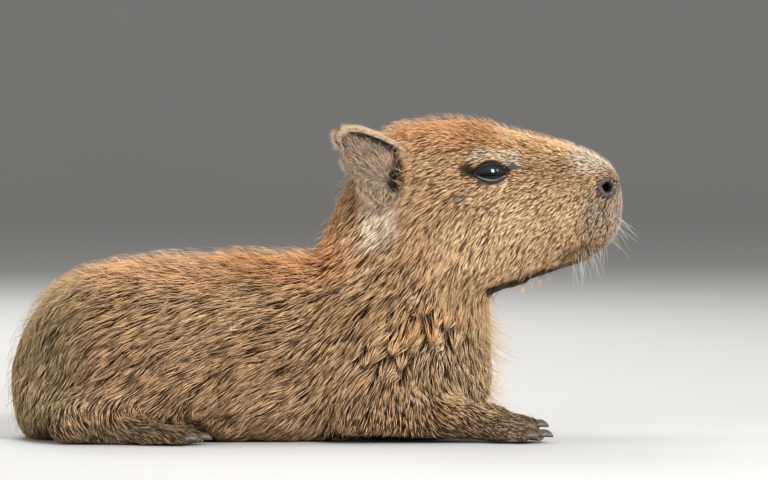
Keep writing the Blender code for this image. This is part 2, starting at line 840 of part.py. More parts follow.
def build_ear(side, name, head, parts, scratch):
    """A cup whose rim folds inwards, open outwards and forwards."""
    rings = 5
    facing, behind, above = ear_axes(side)
    centre = mirrored(EAR_AT, side)
    # The cup is deepest at the foot of its front edge
    deepest = behind * -0.0070 + above * -0.0060
    bm = bmesh.new()
    middle = bm.verts.new(centre + deepest - facing * EAR_DEPTH)
    loops = []
    for ring in range(1, rings + 1):
        share = ring / rings
        reach = EAR_RADIUS * math.sin(share * 0.57 * math.pi)
        depth = EAR_DEPTH * (1 - share**2.4)
        flat = centre + deepest * (1 - share) - facing * depth
        loops.append([bm.verts.new(flat + (behind * b + above * u) * reach) for b, u in EAR_RIM])
    spokes = len(EAR_RIM)
    for i in range(spokes):
        j = (i + 1) % spokes
        bm.faces.new((middle, loops[0][i], loops[0][j]))
        for inner, outer in zip(loops, loops[1:]):
            bm.faces.new((inner[i], outer[i], outer[j], inner[j]))
    ear = object_from(bm, name, parts)
    shell = ear.modifiers.new("thickness", "SOLIDIFY")
    shell.thickness = EAR_THICK
    shell.offset = 0
    apply_modifiers(ear)
    return seated(ear, head, scratch)


# Legs and feet


def fore_foot_bars():
    wrist = Vector((0.112, 0.050, 0.014))
    bars = [Bar(wrist, wrist + Vector((0.020, -0.001, -0.004)), 0.0118, 0.0100)]
    spread = ((-0.0110, 0.038), (-0.0042, 0.047), (0.0040, 0.047), (0.0110, 0.037))
    for aside, ahead in spread:
        root = wrist + Vector((0.018, aside * 0.75, -0.006))
        knuckle = wrist + Vector((ahead * 0.72, aside * 1.05, -0.0055))
        tip = wrist + Vector((ahead, aside * 1.2, -0.0085))
        bars.append(Bar(root, knuckle, 0.0068, 0.0056))
        bars.append(Bar(knuckle, tip, 0.0056, 0.0046))
    return bars, [wrist + Vector((ahead, aside * 1.2, -0.0080)) for aside, ahead in spread]


def hind_foot_bars():
    heel = Vector((-0.168, 0.064, 0.011))
    ball_of_foot = heel + Vector((0.056, 0.005, -0.001))
    bars = [Bar(heel, ball_of_foot, 0.0105, 0.0100)]
    spread = ((-0.0095, 0.084), (0.0, 0.092), (0.0095, 0.083))
    tips = []
    for aside, ahead in spread:
        root = ball_of_foot + Vector((0, aside * 0.7, -0.003))
        knuckle = heel + Vector((ahead * 0.82, 0.006 + aside * 1.05, -0.003))
        tip = heel + Vector((ahead, 0.007 + aside * 1.25, -0.0055))
        bars.append(Bar(root, knuckle, 0.0074, 0.0062))
        bars.append(Bar(knuckle, tip, 0.0062, 0.0050))
        tips.append(tip)
    return bars, tips


def limb(name, bars, side, voxel, rounds, triangles, parts):
    bm = bmesh.new()
    for piece in bars:
        start, end = mirrored(piece.start, side), mirrored(piece.end, side)
        bar(bm, piece._replace(start=start, end=end))
    made = object_from(bm, name, parts)
    fused(made, voxel, rounds)
    thinned(made, triangles)
    return trimmed(made, Vector((0, 0, 0)), Vector((0, 0, -1)))


def build_nail(name, tip, side, parts, foot, scratch):
    """A blunt, hoof-like nail that arches over the toe's end."""
    bm = bmesh.new()
    at = mirrored(tip, side) + Vector((0.0030, 0, -0.0002))
    ball(bm, at, (0.0068, 0.0038, 0.0034))
    made = object_from(bm, name, parts)
    thinned(made, 30)
    trimmed(made, Vector((0, 0, 0.0008)), Vector((0, 0, -1)))
    return seated(made, foot, scratch)


def build_legs(body, bare, parts, scratch):
    skin, horn = [], []
    for side, word in ((-1, "right"), (1, "left")):
        fore = build_leg(body, f"fore_leg_{word}", FORE_JOINTS, FORE_REACHES, side, parts, scratch)
        hind = build_leg(body, f"hind_leg_{word}", HIND_JOINTS, HIND_REACHES, side, parts, scratch)
        bars, tips = fore_foot_bars()
        fore_foot = limb(f"fore_foot_{word}", bars, side, 0.0014, 4, 380, parts)
        hind_bars, hind_tips = hind_foot_bars()
        hind_foot = limb(f"hind_foot_{word}", hind_bars, side, 0.0016, 4, 400, parts)
        seated(fore_foot, bare, scratch)
        seated(hind_foot, bare, scratch)
        skin += [fore, hind, fore_foot, hind_foot]
        for kind, foot, ends in (("fore", fore_foot, tips), ("hind", hind_foot, hind_tips)):
            for number, tip in enumerate(ends, 1):
                name = f"nail_{kind}_{word}_{number}"
                horn.append(build_nail(name, tip, side, parts, foot, scratch))
    return skin, horn


def centre_on_origin(parts):
    """Sets the origin on the floor, at the middle of the animal's length and width."""
    corners = [v.co for obj in parts.objects for v in obj.data.vertices]
    low = Vector([min(c[i] for c in corners) for i in range(3)])
    high = Vector([max(c[i] for c in corners) for i in range(3)])
    shift = Matrix.Translation((-(low.x + high.x) / 2, -(low.y + high.y) / 2, -low.z))
    for obj in parts.objects:
        obj.data.transform(shift)


def main():
    clear_scene()
    parts = collection("capybara")
    scratch = collection("scratch", shown=False)
    fine_body = whole_body(scratch)
    bare = thinned(copy_of(fine_body, "bare_body", scratch), 2300)
    thinned(fine_body, 5000)
    body = coated(bare, scratch)
    trunk = build_trunk(body, parts, scratch)
    neck = build_neck(body, parts, scratch)
    head, jaw = build_head(fine_body, parts, scratch)
    ears = []
    eyes = []
    for side, word in ((-1, "right"), (1, "left")):
        eyes.append(build_eye(side, f"eye_{word}", parts))
        ears.append(build_ear(side, f"ear_{word}", head, parts, scratch))
    legs, nails = build_legs(body, bare, parts, scratch)
    coat = finish_material("coat", (0.42, 0.26, 0.14), 0.85)
    skin = finish_material("bare_skin", (0.20, 0.16, 0.14), 0.6)
    horn = finish_material("nail_horn", (0.09, 0.08, 0.07), 0.45)
    gloss = finish_material("eye_gloss", (0.015, 0.010, 0.008), 0.05)
    for objects, material in (
        ((trunk, neck, head, jaw, *legs), coat),
        (ears, skin),
        (nails, horn),
        (eyes, gloss),
    ):
        for obj in objects:
            obj.data.materials.clear()
            obj.data.materials.append(material)
    for obj in list(scratch.objects):
        bpy.data.objects.remove(obj)
    centre_on_origin(parts)


main()
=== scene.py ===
import math

import bpy
import numpy as np
from mathutils import Matrix, Vector
from mathutils.bvhtree import BVHTree
from mathutils.kdtree import KDTree


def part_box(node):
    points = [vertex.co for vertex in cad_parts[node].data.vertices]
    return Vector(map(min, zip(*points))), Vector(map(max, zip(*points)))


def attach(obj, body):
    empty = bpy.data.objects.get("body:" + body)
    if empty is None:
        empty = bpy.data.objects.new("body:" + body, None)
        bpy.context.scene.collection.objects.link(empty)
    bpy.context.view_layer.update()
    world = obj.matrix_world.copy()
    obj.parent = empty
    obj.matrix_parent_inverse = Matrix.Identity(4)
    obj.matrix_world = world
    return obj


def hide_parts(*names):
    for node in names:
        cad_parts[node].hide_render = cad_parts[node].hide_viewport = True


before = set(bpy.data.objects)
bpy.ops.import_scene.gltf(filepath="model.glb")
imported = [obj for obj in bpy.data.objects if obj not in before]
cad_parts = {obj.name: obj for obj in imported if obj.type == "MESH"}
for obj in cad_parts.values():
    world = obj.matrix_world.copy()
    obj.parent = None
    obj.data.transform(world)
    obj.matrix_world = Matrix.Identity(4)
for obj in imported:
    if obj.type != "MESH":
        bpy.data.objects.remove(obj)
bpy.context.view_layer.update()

# The animal faces +X, its left side is +Y, the floor is z = 0. It is built in the frame of its own
# sizes, with x = 0 near the shoulder, and each finished mesh is moved by `home` into the part's frame.
eyeAt = Vector((0.1235, 0.0275, 0.1845))
eyeRadius = 0.0150
middles = [(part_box(n)[0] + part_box(n)[1]) / 2 for n in ("eye_left", "eye_right")]
home = (middles[0] + middles[1]) / 2 - Vector((eyeAt.x, 0, eyeAt.z))
draw = np.random.default_rng(41)
clear = {"skin": 0.0006, "hair": 0.0008, "nail": 0.0004}  # least heights above the floor
sides = (("right", -1), ("left", 1))


# Small helpers for hand work

def deselectAll():
    if bpy.context.object and bpy.context.object.mode != "OBJECT":
        bpy.ops.object.mode_set(mode="OBJECT")
    bpy.ops.object.select_all(action="DESELECT")


def pick(objects):
    deselectAll()
    for obj in objects:
        obj.select_set(True)
    bpy.context.view_layer.objects.active = objects[0]


def join(objects, name):
    pick(objects)
    bpy.ops.object.join()
    obj = bpy.context.object
    obj.name = obj.data.name = name
    return obj


def applyPlace(obj):
    pick([obj])
    bpy.ops.object.transform_apply(location=True, rotation=True, scale=True)
    return obj


def modify(obj, kind, **values):
    pick([obj])
    made = obj.modifiers.new(kind.lower(), kind)
    for key, value in values.items():
        setattr(made, key, value)
    bpy.ops.object.modifier_apply(modifier=made.name)
    return obj


def shadeSmooth(obj):
    pick([obj])
    bpy.ops.object.shade_smooth()


# One value of every vertex, face or corner of a mesh, in rows of so many numbers
def readAll(items, name, width=3, kind=np.float32):
    found = np.empty(len(items) * width, kind)
    items.foreach_get(name, found)
    return found.reshape(-1, width) if width > 1 else found


def points(obj):
    return readAll(obj.data.vertices, "co").astype(float)


def setPoints(obj, places):
    obj.data.vertices.foreach_set("co", places.astype(np.float32).ravel())
    obj.data.update()


def normalsOf(obj):
    return readAll(obj.data.vertex_normals, "vector").astype(float)


def unit(ways):
    return ways / np.maximum(np.linalg.norm(ways, axis=-1, keepdims=True), 1e-9)


def smooth(value, start, end):
    share = np.clip((value - start) / (end - start), 0, 1)
    return share * share * (3 - 2 * share)


def leftHand(places):
    return np.column_stack((places[:, 0], np.abs(places[:, 1]), places[:, 2]))


def mirrored(place, side):
    return np.array((place[0], place[1] * side, place[2]))


# A way given for the left side, turned over where a place lies on the right
def sidedWays(way, places):
    ones = np.ones(len(places))
    return np.array(way) * np.column_stack((ones, np.sign(places[:, 1]), ones))


# How far places are from a middle of the left side, as shares of a reach along each axis
def nearMiddle(places, middle, reach):
    return np.linalg.norm((leftHand(places) - np.array(middle)) / np.array(reach), axis=1)


def lineDistance(places, start, end):
    start, end = np.array(start, float), np.array(end, float)
    run = end - start
    share = np.clip(((places - start) @ run) / (run @ run), 0, 1)
    return np.linalg.norm(places - start - share[:, None] * run, axis=1), share


def finishPiece(obj, slot, material, *nodes):
    obj.data.transform(Matrix.Translation(home))
    obj.data.materials.clear()
    obj.data.materials.append(material)
    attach(obj, "root")
    if nodes:
        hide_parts(*nodes)


# Body sizes

body = {
    "trunkLength": 0.334, "backHeight": 0.1275, "trunkWidth": 0.142, "chestAt": 0.126,
    "headLength": 0.183, "headDepth": 0.122, "headWidth": 0.096, "noseAt": 0.218, "crown": 0.223,
    "ringPoints": 32, "stepsBetween": 4, "voxel": 0.0020, "fineVoxel": 0.0019, "rounds": 24,
    "trunkRounds": 52,
}

# along, top, bottom, width, squareness, sag: heights are shares of the back's height
trunkShares = (
    (0.000, 0.42, 0.20, 0.20, 2.0, 0.0), (0.018, 0.56, 0.05, 0.44, 2.0, 0.1),
    (0.050, 0.71, -0.02, 0.64, 2.1, 0.2), (0.105, 0.84, -0.04, 0.80, 2.1, 0.2),
    (0.190, 0.93, -0.04, 0.92, 2.2, 0.2), (0.310, 0.98, -0.04, 0.98, 2.3, 0.2),
    (0.450, 1.00, -0.04, 1.00, 2.3, 0.2), (0.600, 1.00, -0.04, 0.97, 2.3, 0.2),
    (0.730, 0.96, -0.04, 0.88, 2.2, 0.2), (0.830, 0.86, -0.03, 0.80, 2.2, 0.2),
    (0.915, 0.72, 0.00, 0.68, 2.1, 0.1), (0.970, 0.58, 0.10, 0.48, 2.0, 0.0),
    (1.000, 0.44, 0.24, 0.22, 2.0, 0.0),
)
# nape point, throat point, half width
neckStations = (
    ((-0.030, 0.110), (0.108, 0.034), 0.056), ((0.003, 0.130), (0.125, 0.064), 0.053),
    ((0.014, 0.150), (0.126, 0.088), 0.049), ((0.023, 0.174), (0.124, 0.104), 0.046),
    ((0.038, 0.196), (0.116, 0.118), 0.040),
)
# along, top and bottom below the crown, width, squareness, sag
headShares = (
    (0.000, 0.340, 0.640, 0.60, 2.0, 0.0), (0.070, 0.130, 0.800, 0.85, 2.3, 0.1),
    (0.170, 0.040, 0.920, 0.97, 2.5, 0.1), (0.290, 0.008, 0.985, 1.01, 2.6, 0.2),
    (0.400, 0.000, 1.000, 0.99, 2.6, 0.2), (0.500, 0.030, 0.995, 0.93, 2.5, 0.2),
    (0.600, 0.068, 0.955, 0.86, 2.5, 0.2), (0.700, 0.100, 0.905, 0.79, 2.6, 0.2),
    (0.790, 0.135, 0.860, 0.74, 2.8, 0.2), (0.870, 0.180, 0.815, 0.72, 3.0, 0.2),
    (0.930, 0.225, 0.755, 0.69, 3.0, 0.2), (0.968, 0.275, 0.700, 0.62, 2.8, 0.1),
    (0.990, 0.335, 0.630, 0.48, 2.5, 0.0), (1.000, 0.420, 0.540, 0.26, 2.2, 0.0),
)
# Cheek, brow, socket, upper lip, crown, shoulder and hip: middle and reach on the left side
swellings = (
    ((0.092, 0.022, 0.142), (0.036, 0.025, 0.032)), ((0.120, 0.020, 0.196), (0.032, 0.018, 0.017)),
    (tuple(eyeAt), (0.018, 0.018, 0.018)), ((0.190, 0.018, 0.150), (0.022, 0.017, 0.026)),
    ((0.080, 0.026, 0.193), (0.044, 0.0215, 0.026)), ((0.048, 0.034, 0.068), (0.058, 0.030, 0.052)),
    ((-0.128, 0.030, 0.074), (0.066, 0.042, 0.046)),
)
wristAt, heelAt = Vector((0.112, 0.050, 0.014)), Vector((-0.168, 0.064, 0.011))
# start, end, thickness at each: upper arm, forearm, thigh, shank
limbBars = (
    ((0.056, 0.040, 0.064), (0.032, 0.056, 0.025), 0.028, 0.021),
    ((0.032, 0.056, 0.025), (0.112, 0.049, 0.0145), 0.020, 0.0135),
    ((-0.136, 0.034, 0.066), (-0.080, 0.052, 0.044), 0.045, 0.031),
    ((-0.080, 0.052, 0.036), (-0.162, 0.060, 0.0175), 0.026, 0.0165),
)
# Presses of the face: middle, reach, push on the left side
presses = (
    ((0.1385, 0.0435, 0.185), (0.009, 0.012, 0.008), (0, -0.0034, 0)),
    ((0.1090, 0.0435, 0.1835), (0.009, 0.012, 0.008), (0, -0.0030, 0)),
    ((0.1235, 0.0415, 0.1695), (0.018, 0.014, 0.008), (0, -0.0018, 0)),
    ((0.160, 0.038, 0.176), (0.024, 0.016, 0.018), (0, -0.0024, 0)),
    ((0.150, 0.036, 0.126), (0.034, 0.018, 0.016), (0, -0.0026, 0.001)),
    ((0.203, 0.024, 0.184), (0.014, 0.014, 0.010), (0.0016, 0.0022, 0.0012)),
    ((0.200, 0.028, 0.145), (0.018, 0.014, 0.018), (0.0012, 0.0030, -0.0010)),
    ((0.217, 0.000, 0.156), (0.012, 0.0042, 0.026), (-0.0026, 0, 0)),
    ((0.217, 0.000, 0.186), (0.012, 0.0070, 0.010), (-0.0014, 0, 0)),
    ((0.188, 0.030, 0.116), (0.030, 0.012, 0.010), (0, -0.0060, 0.0010)),
    ((0.059, 0.045, 0.188), (0.018, 0.016, 0.022), (0, -0.0075, 0)),
    ((0.209, 0.014, 0.125), (0.018, 0.034, 0.018), (-0.0038, 0, 0.0014)),
)


def throughAll(rows, steps):
    rows = np.array(rows, float)
    last = len(rows) - 1
    found = []
    for i in range(last):
        a, b, c, d = (rows[max(0, min(last, i + k))] for k in (-1, 0, 1, 2))
        for step in range(steps):
            t = step / steps
            found.append(0.5 * (2 * b + (c - a) * t + (2 * a - 5 * b + 4 * c - d) * t * t
                                + (3 * b - a - 3 * c + d) * t ** 3))
    return np.array(found + [rows[last]])


# A sphere drawn out along oval rings. Each row: top x z, bottom x z, half width, squareness, sag
def drawnBall(rows):
    rings = throughAll(rows, body["stepsBetween"])
    count = len(rings)
    deselectAll()
    bpy.ops.mesh.primitive_uv_sphere_add(segments=body["ringPoints"], ring_count=count + 1, radius=1)
    obj = bpy.context.object
    ball = points(obj)
    turn = np.arctan2(ball[:, 1], ball[:, 0])
    at = np.rint(np.arccos(np.clip(ball[:, 2], -1, 1)) / math.pi * (count + 1)).astype(int)
    pole = (at == 0) | (at == count + 1)
    ring = rings[np.clip(at - 1, 0, count - 1)]
    power = 2 / ring[:, 5]
    up = np.copysign(np.abs(np.cos(turn)) ** power, np.cos(turn))
    side = np.copysign(np.abs(np.sin(turn)) ** power, np.sin(turn))
    up = np.where(pole, 0, up - ring[:, 6] * (1 - up * up))
    side = np.where(pole, 0, side)
    middle, reach = (ring[:, :2] + ring[:, 2:4]) / 2, (ring[:, :2] - ring[:, 2:4]) / 2
    profile = middle + reach * up[:, None]
    setPoints(obj, np.column_stack((profile[:, 0], ring[:, 4] * side, profile[:, 1])))
    return obj


def ballAt(place, reach):
    deselectAll()
    bpy.ops.mesh.primitive_uv_sphere_add(segments=24, ring_count=16, radius=1, location=place, scale=reach)
    return bpy.context.object


def barBetween(start, end, thickStart, thickEnd):
    start, end = Vector(start), Vector(end)
    along = end - start
    made = [ballAt(start, (thickStart,) * 3), ballAt(end, (thickEnd,) * 3)]
    deselectAll()
    bpy.ops.mesh.primitive_cone_add(
        vertices=24, radius1=thickStart, radius2=thickEnd, depth=along.length,
        location=(start + end) / 2, rotation=along.to_track_quat("Z", "Y").to_euler(),
    )
    return made + [bpy.context.object]


def bothSides(place):
    return [Vector(mirrored(place, side)) for _, side in sides]


foot = {
    "foreToes": ((-0.0110, 0.038), (-0.0042, 0.047), (0.0040, 0.047), (0.0110, 0.037)),
    "hindToes": ((-0.0095, 0.084), (0.0, 0.092), (0.0095, 0.083)),
    "voxel": 0.0013, "rounds": 5,
}


# Bars of one fore and one hind foot on the left side, and the ends of their toes
def footBars():
    bars, tips = [(wristAt, wristAt + Vector((0.020, -0.001, -0.004)), 0.0118, 0.0100)], []
    for aside, ahead in foot["foreToes"]:
        root = wristAt + Vector((0.018, aside * 0.75, -0.006))
        knuckle = wristAt + Vector((ahead * 0.72, aside * 1.05, -0.0055))
        tip = wristAt + Vector((ahead, aside * 1.2, -0.0085))
        bars += [(root, knuckle, 0.0068, 0.0056), (knuckle, tip, 0.0056, 0.0046)]
        tips.append(wristAt + Vector((ahead, aside * 1.2, -0.0080)))
    ballOfFoot = heelAt + Vector((0.056, 0.005, -0.001))
    bars.append((heelAt, ballOfFoot, 0.0105, 0.0100))
    for aside, ahead in foot["hindToes"]:
        root = ballOfFoot + Vector((0, aside * 0.7, -0.003))
        knuckle = heelAt + Vector((ahead * 0.82, 0.006 + aside * 1.05, -0.003))
        tip = heelAt + Vector((ahead, 0.007 + aside * 1.25, -0.0055))
        bars += [(root, knuckle, 0.0074, 0.0062), (knuckle, tip, 0.0062, 0.0050)]
        tips.append(tip)
    return bars, tips


def barsAsPieces(bars):
    pieces = []
    for start, end, thickStart, thickEnd in bars:
        for one, two in zip(bothSides(start), bothSides(end)):
            pieces += barBetween(one, two, thickStart, thickEnd)
    return pieces


def outwardNormals(obj):
    pick([obj])
    bpy.ops.object.mode_set(mode="EDIT")
    bpy.ops.mesh.select_all(action="SELECT")
    bpy.ops.mesh.normals_make_consistent(inside=False)
    bpy.ops.object.mode_set(mode="OBJECT")


# How fast a press fades with the squared distance, in reaches, and where it ends
pressFall, pressEnd = 1.6, 4


def press(obj, middle, reach, push):
    places = points(obj)
    far = (((leftHand(places) - np.array(middle)) / np.array(reach)) ** 2).sum(1)
    weight = np.where(far > pressEnd, 0, np.exp(-pressFall * far))
    setPoints(obj, places + sidedWays(push, places) * weight[:, None])


def wholeBody():
    length, height = body["trunkLength"], body["backHeight"]
    rump = body["chestAt"] - length
    trunk = [(rump + a * length, t * height, rump + a * length, b * height, w * body["trunkWidth"] / 2, q, s)
             for a, t, b, w, q, s in trunkShares]
    neck = [(*nape, *throat, width, 2.1, 0) for nape, throat, width in neckStations]
    back = body["noseAt"] - body["headLength"]
    head = [(back + a * body["headLength"], body["crown"] - t * body["headDepth"],
             back + a * body["headLength"], body["crown"] - b * body["headDepth"],
             w * body["headWidth"] / 2, q, s) for a, t, b, w, q, s in headShares]
    pieces = [drawnBall(rows) for rows in (trunk, neck, head)]
    for middle, reach in swellings:
        pieces += [ballAt(place, reach) for place in bothSides(middle)]
    pieces += barsAsPieces(limbBars)
    whole = applyPlace(join(pieces, "skin"))
    outwardNormals(whole)
    modify(whole, "REMESH", mode="VOXEL", voxel_size=body["voxel"])
    modify(whole, "SMOOTH", factor=0.5, iterations=body["rounds"])
    places = points(whole)
    group = whole.vertex_groups.new(name="trunk")
    share = np.clip(np.minimum((0.125 - places[:, 2]) / 0.03, (0.120 - places[:, 0]) / 0.03), 0, 1)
    for index in np.nonzero(share > 0)[0]:
        group.add([int(index)], float(share[index]), "REPLACE")
    modify(whole, "SMOOTH", factor=0.5, iterations=body["trunkRounds"], vertex_group="trunk")
    return whole


def withFeet(whole):
    feet = applyPlace(join(barsAsPieces(footBars()[0]), "feet"))
    outwardNormals(feet)
    modify(feet, "REMESH", mode="VOXEL", voxel_size=foot["voxel"])
    modify(feet, "SMOOTH", factor=0.5, iterations=foot["rounds"])
    whole = join([whole, feet], "skin")
    modify(whole, "REMESH", mode="VOXEL", voxel_size=body["fineVoxel"])
    modify(whole, "SMOOTH", factor=0.5, iterations=3)
    for middle, reach, push in presses:
        press(whole, middle, reach, push)
    return whole


# The coat on the left side: place in millimetres, way it points there in hundredths, its length and
# its depth in millimetres

comb = (
    # nose, forehead, crown
    (208, 12, 190, -100, 25, 35, 2.6, 0.8), (185, 10, 199, -100, 20, 25, 4, 1.2),
    (160, 12, 207, -100, 15, 15, 5.5, 1.7), (130, 12, 216, -100, 12, 10, 7, 2.2),
    (95, 12, 222, -100, 12, 0, 8.5, 2.8), (60, 15, 216, -95, 15, -25, 10, 3.2),
    (40, 20, 200, -75, 10, -60, 12, 3.4),
    # round the eye
    (150, 36, 190, -95, 25, 10, 3.6, 1), (124, 38, 203, -95, 25, -5, 4, 1.2),
    (102, 40, 188, -95, 10, -30, 4.5, 1.4), (123, 43, 170, -80, 10, -60, 4, 1.2),
    (145, 42, 174, -85, 25, -40, 3.8, 1.1),
    # cheek, jaw, throat
    (165, 38, 160, -70, 20, -65, 4.4, 1.3), (135, 44, 150, -55, 10, -85, 6, 1.8),
    (95, 48, 150, -50, 5, -87, 8.5, 2.4), (110, 44, 125, -40, 0, -92, 8.5, 2.4),
    (75, 46, 125, -50, 0, -87, 12, 3), (150, 34, 118, -45, 0, -90, 6, 1.6),
    (120, 20, 102, -60, 0, -70, 12, 2.6), (160, 12, 105, -80, 0, -40, 6, 1.6),
    (190, 10, 117, -75, 0, -50, 4.5, 1.2),
    # muzzle
    (190, 36, 160, -55, 25, -75, 3.2, 0.9), (195, 35, 138, -25, 10, -95, 3.4, 0.9),
    (217, 12, 158, -5, 30, -100, 2.6, 0.7), (210, 14, 136, -5, 15, -100, 3.4, 0.9),
    # temple, below the ear, nape
    (78, 46, 180, -85, 5, -45, 7, 2), (50, 46, 160, -60, 0, -80, 11, 3),
    (22, 20, 172, -50, 10, -85, 15, 3.8), (6, 20, 138, -85, 15, -50, 19, 4.2),
    # back and rump
    (-30, 20, 128, -100, 15, -10, 21, 4.2), (-100, 20, 128, -100, 15, -5, 22, 4.2),
    (-160, 30, 112, -85, 20, -45, 22, 4.2), (-202, 20, 70, -35, 10, -95, 20, 4),
    (-190, 45, 50, -55, 10, -85, 18, 4),
    # flank and haunch
    (-30, 68, 85, -100, 0, -35, 22, 4.2), (-20, 72, 40, -90, 0, -45, 22, 4.2),
    (-130, 70, 80, -85, 0, -50, 21, 4.2), (-130, 75, 45, -80, 0, -60, 18, 4),
    (-60, 72, 40, -86, 0, -50, 20, 4), (-95, 75, 45, -84, 0, -55, 19, 4),
    (-105, 76, 32, -80, 0, -60, 14, 3.2), (-160, 70, 40, -60, 5, -80, 16, 3.8),
    # shoulder, neck side, chest
    (50, 58, 90, -65, 0, -80, 19, 4.2), (45, 66, 50, -50, 0, -85, 17, 3.8),
    (60, 45, 130, -60, 0, -80, 16, 3.8), (100, 40, 100, -35, 0, -95, 18, 4),
    (122, 12, 80, 10, 0, -100, 20, 4.2), (100, 45, 50, 0, 0, -100, 15, 3.6),
    # lower legs and feet
    (60, 60, 22, -10, 0, -100, 9, 2), (100, 55, 18, 80, 5, -60, 6, 1.4),
    (130, 50, 16, 100, 0, -15, 4, 0.8), (155, 50, 10, 100, 0, -25, 3, 0.6),
    (-160, 68, 20, 60, 10, -80, 7, 1.6), (-120, 72, 18, 100, 0, -20, 5, 1),
    (-85, 72, 10, 100, 0, -20, 3.5, 0.7),
)
combTable = np.array(comb, float)
combPlaces, combSizes = combTable[:, :3] / 1000, combTable[:, 6:] / 1000
combWays = unit(combTable[:, 3:6] / 100)


# Way, length and depth of the coat at many places
def combAt(places):
    left = leftHand(places)
    ways, sizes = np.zeros((len(left), 3)), np.zeros((len(left), 2))
    for start in range(0, len(left), 20000):
        part = left[start:start + 20000]
        near = ((part[:, None, :] - combPlaces[None]) ** 2).sum(2)
        weight = 1 / (near + 0.00012) ** 1.6
        weight /= weight.sum(1, keepdims=True)
        ways[start:start + 20000] = weight @ combWays
        sizes[start:start + 20000] = weight @ combSizes
    # Along the middle the two sides' hair runs together, with no parting
    ways[:, 1] *= np.clip(places[:, 1] / 0.014, -1, 1)
    nearFloor = smooth(left[:, 2], 0.002, 0.020)
    sizes[:, 1] *= 0.25 + 0.75 * nearFloor
    return unit(ways), sizes[:, 0], sizes[:, 1]


# Face: opening of the lids, nostrils and mouth

face = {
    # The opening's middle stands a little ahead of and above the ball's
    "openingAhead": 0.0026, "openingAbove": 0.0020, "halfLength": 0.0114, "rise": 0.0054, "drop": 0.0053,
    "tilt": 0.04, "lidProud": 0.0012, "browProud": 0.0009, "lidRound": 0.0015, "lidReach": 0.0075,
    "nostrilAt": (0.2072, 0.1764), "nostrilInward": (-0.45, -0.88, -0.10), "nostrilDepth": 0.014,
    "nostrilTail": (0.0042, -0.0042, 0.0044), "wingFold": (-0.0062, 0.0026, 0.0012),
    "lipFront": (0.2040, 0.1275), "lipCorner": (0.1560, 0.1130), "grooveDepth": 0.0016,
}


# The way into the left nostril
nostrilWay = unit(np.array([face["nostrilInward"]], float))[0]


# Half height of the opening: its hind corner is the more pointed one
def lidTall(along, above):
    point = np.where(along < 0, 0.50, 0.30)
    return np.where(above, face["rise"], face["drop"]) * (1 - point * np.minimum(along ** 2, 1))


# How far a place is outside the opening of the lids, negative inside, measured in the eye's plane
def outsideLids(places):
    away = leftHand(places) - np.array(eyeAt)
    ahead = away[:, 0] - face["openingAhead"]
    height = away[:, 2] - face["openingAbove"] - face["tilt"] * ahead
    along = np.clip(ahead / face["halfLength"], -3, 3)
    tall = lidTall(along, height > 0)
    level = np.hypot(along, height / tall)
    flat = np.hypot(ahead, height)
    gap = np.where(away[:, 1] > 0, (level - 1) * flat / np.maximum(level, 0.05), 0.05)
    return gap, np.column_stack((ahead, np.zeros(len(away)), height))


# Dark skin round the lids: black above the eye, there partly painted shadow of the upper lid, and at its hind
# corner, grey below and ahead of it
def lidShades(places):
    outside, flat = outsideLids(places)
    flat = flat[:, (0, 2)]
    # Above the eye the black band is wider: painted shadow of the upper lid
    band = np.where(flat[:, 1] > 0, 0.0024, 0.0016)
    black = 1 - smooth(outside, band, band + 0.0014)
    corner, along = lineDistance(flat, (-0.0090, 0.0012), (-0.0165, 0.0040))
    taper = 0.0012 * along
    black = np.maximum(black, (1 - 0.15 * along) * (1 - smooth(corner, 0.0036 - taper, 0.0052 - taper)))
    spot = np.linalg.norm(flat - np.array((0.0160, -0.0058)), axis=1)
    black = np.maximum(black, 0.7 * (1 - smooth(spot, 0.0006, 0.0022)))
    front, _ = lineDistance(flat, (0.0115, 0.0014), (0.0180, 0.0038))
    grey = np.maximum(1 - smooth(front, 0.0016, 0.0034), 1 - smooth(outside, 0.0022, 0.0036))
    onSide = leftHand(places)[:, 1] > 0.020
    black, grey = black * onSide, grey * onSide
    # The lower edge of the jaw is as dark: painted shade under the upper lip, with the dark of its wet hair
    edge, _ = lineDistance(places[:, (0, 2)], (0.1310, 0.1070), (0.1890, 0.1232))
    wet = 0.85 - 0.65 * smooth(places[:, 0], 0.170, 0.184) * (1 - smooth(np.abs(places[:, 1]), 0.016, 0.022))
    black = np.maximum(black, wet * (1 - smooth(edge, 0.0026, 0.0058)))
    return np.column_stack((black, grey * (1 - black)))


def nearAny(places, spots):
    return np.any([nearMiddle(places, middle, reach) < 1 for middle, reach in spots], axis=0)


# Faces near the spots are cut finer
def refine(obj, spots, cuts):
    chosen = nearAny(readAll(obj.data.polygons, "center").astype(float), spots)
    deselectAll()
    for items in (obj.data.polygons, obj.data.edges, obj.data.vertices):
        items.foreach_set("select", np.zeros(len(items), bool))
    obj.data.polygons.foreach_set("select", chosen)
    pick([obj])
    bpy.ops.object.mode_set(mode="EDIT")
    bpy.ops.mesh.select_mode(type="FACE")
    bpy.ops.mesh.subdivide(number_cuts=cuts, smoothness=0)
    bpy.ops.object.mode_set(mode="OBJECT")
    group = obj.vertex_groups.new(name="refined")
    group.add([int(i) for i in np.nonzero(nearAny(points(obj), spots))[0]], 1.0, "REPLACE")
    modify(obj, "SMOOTH", factor=0.5, iterations=5, vertex_group="refined")
    obj.vertex_groups.clear()


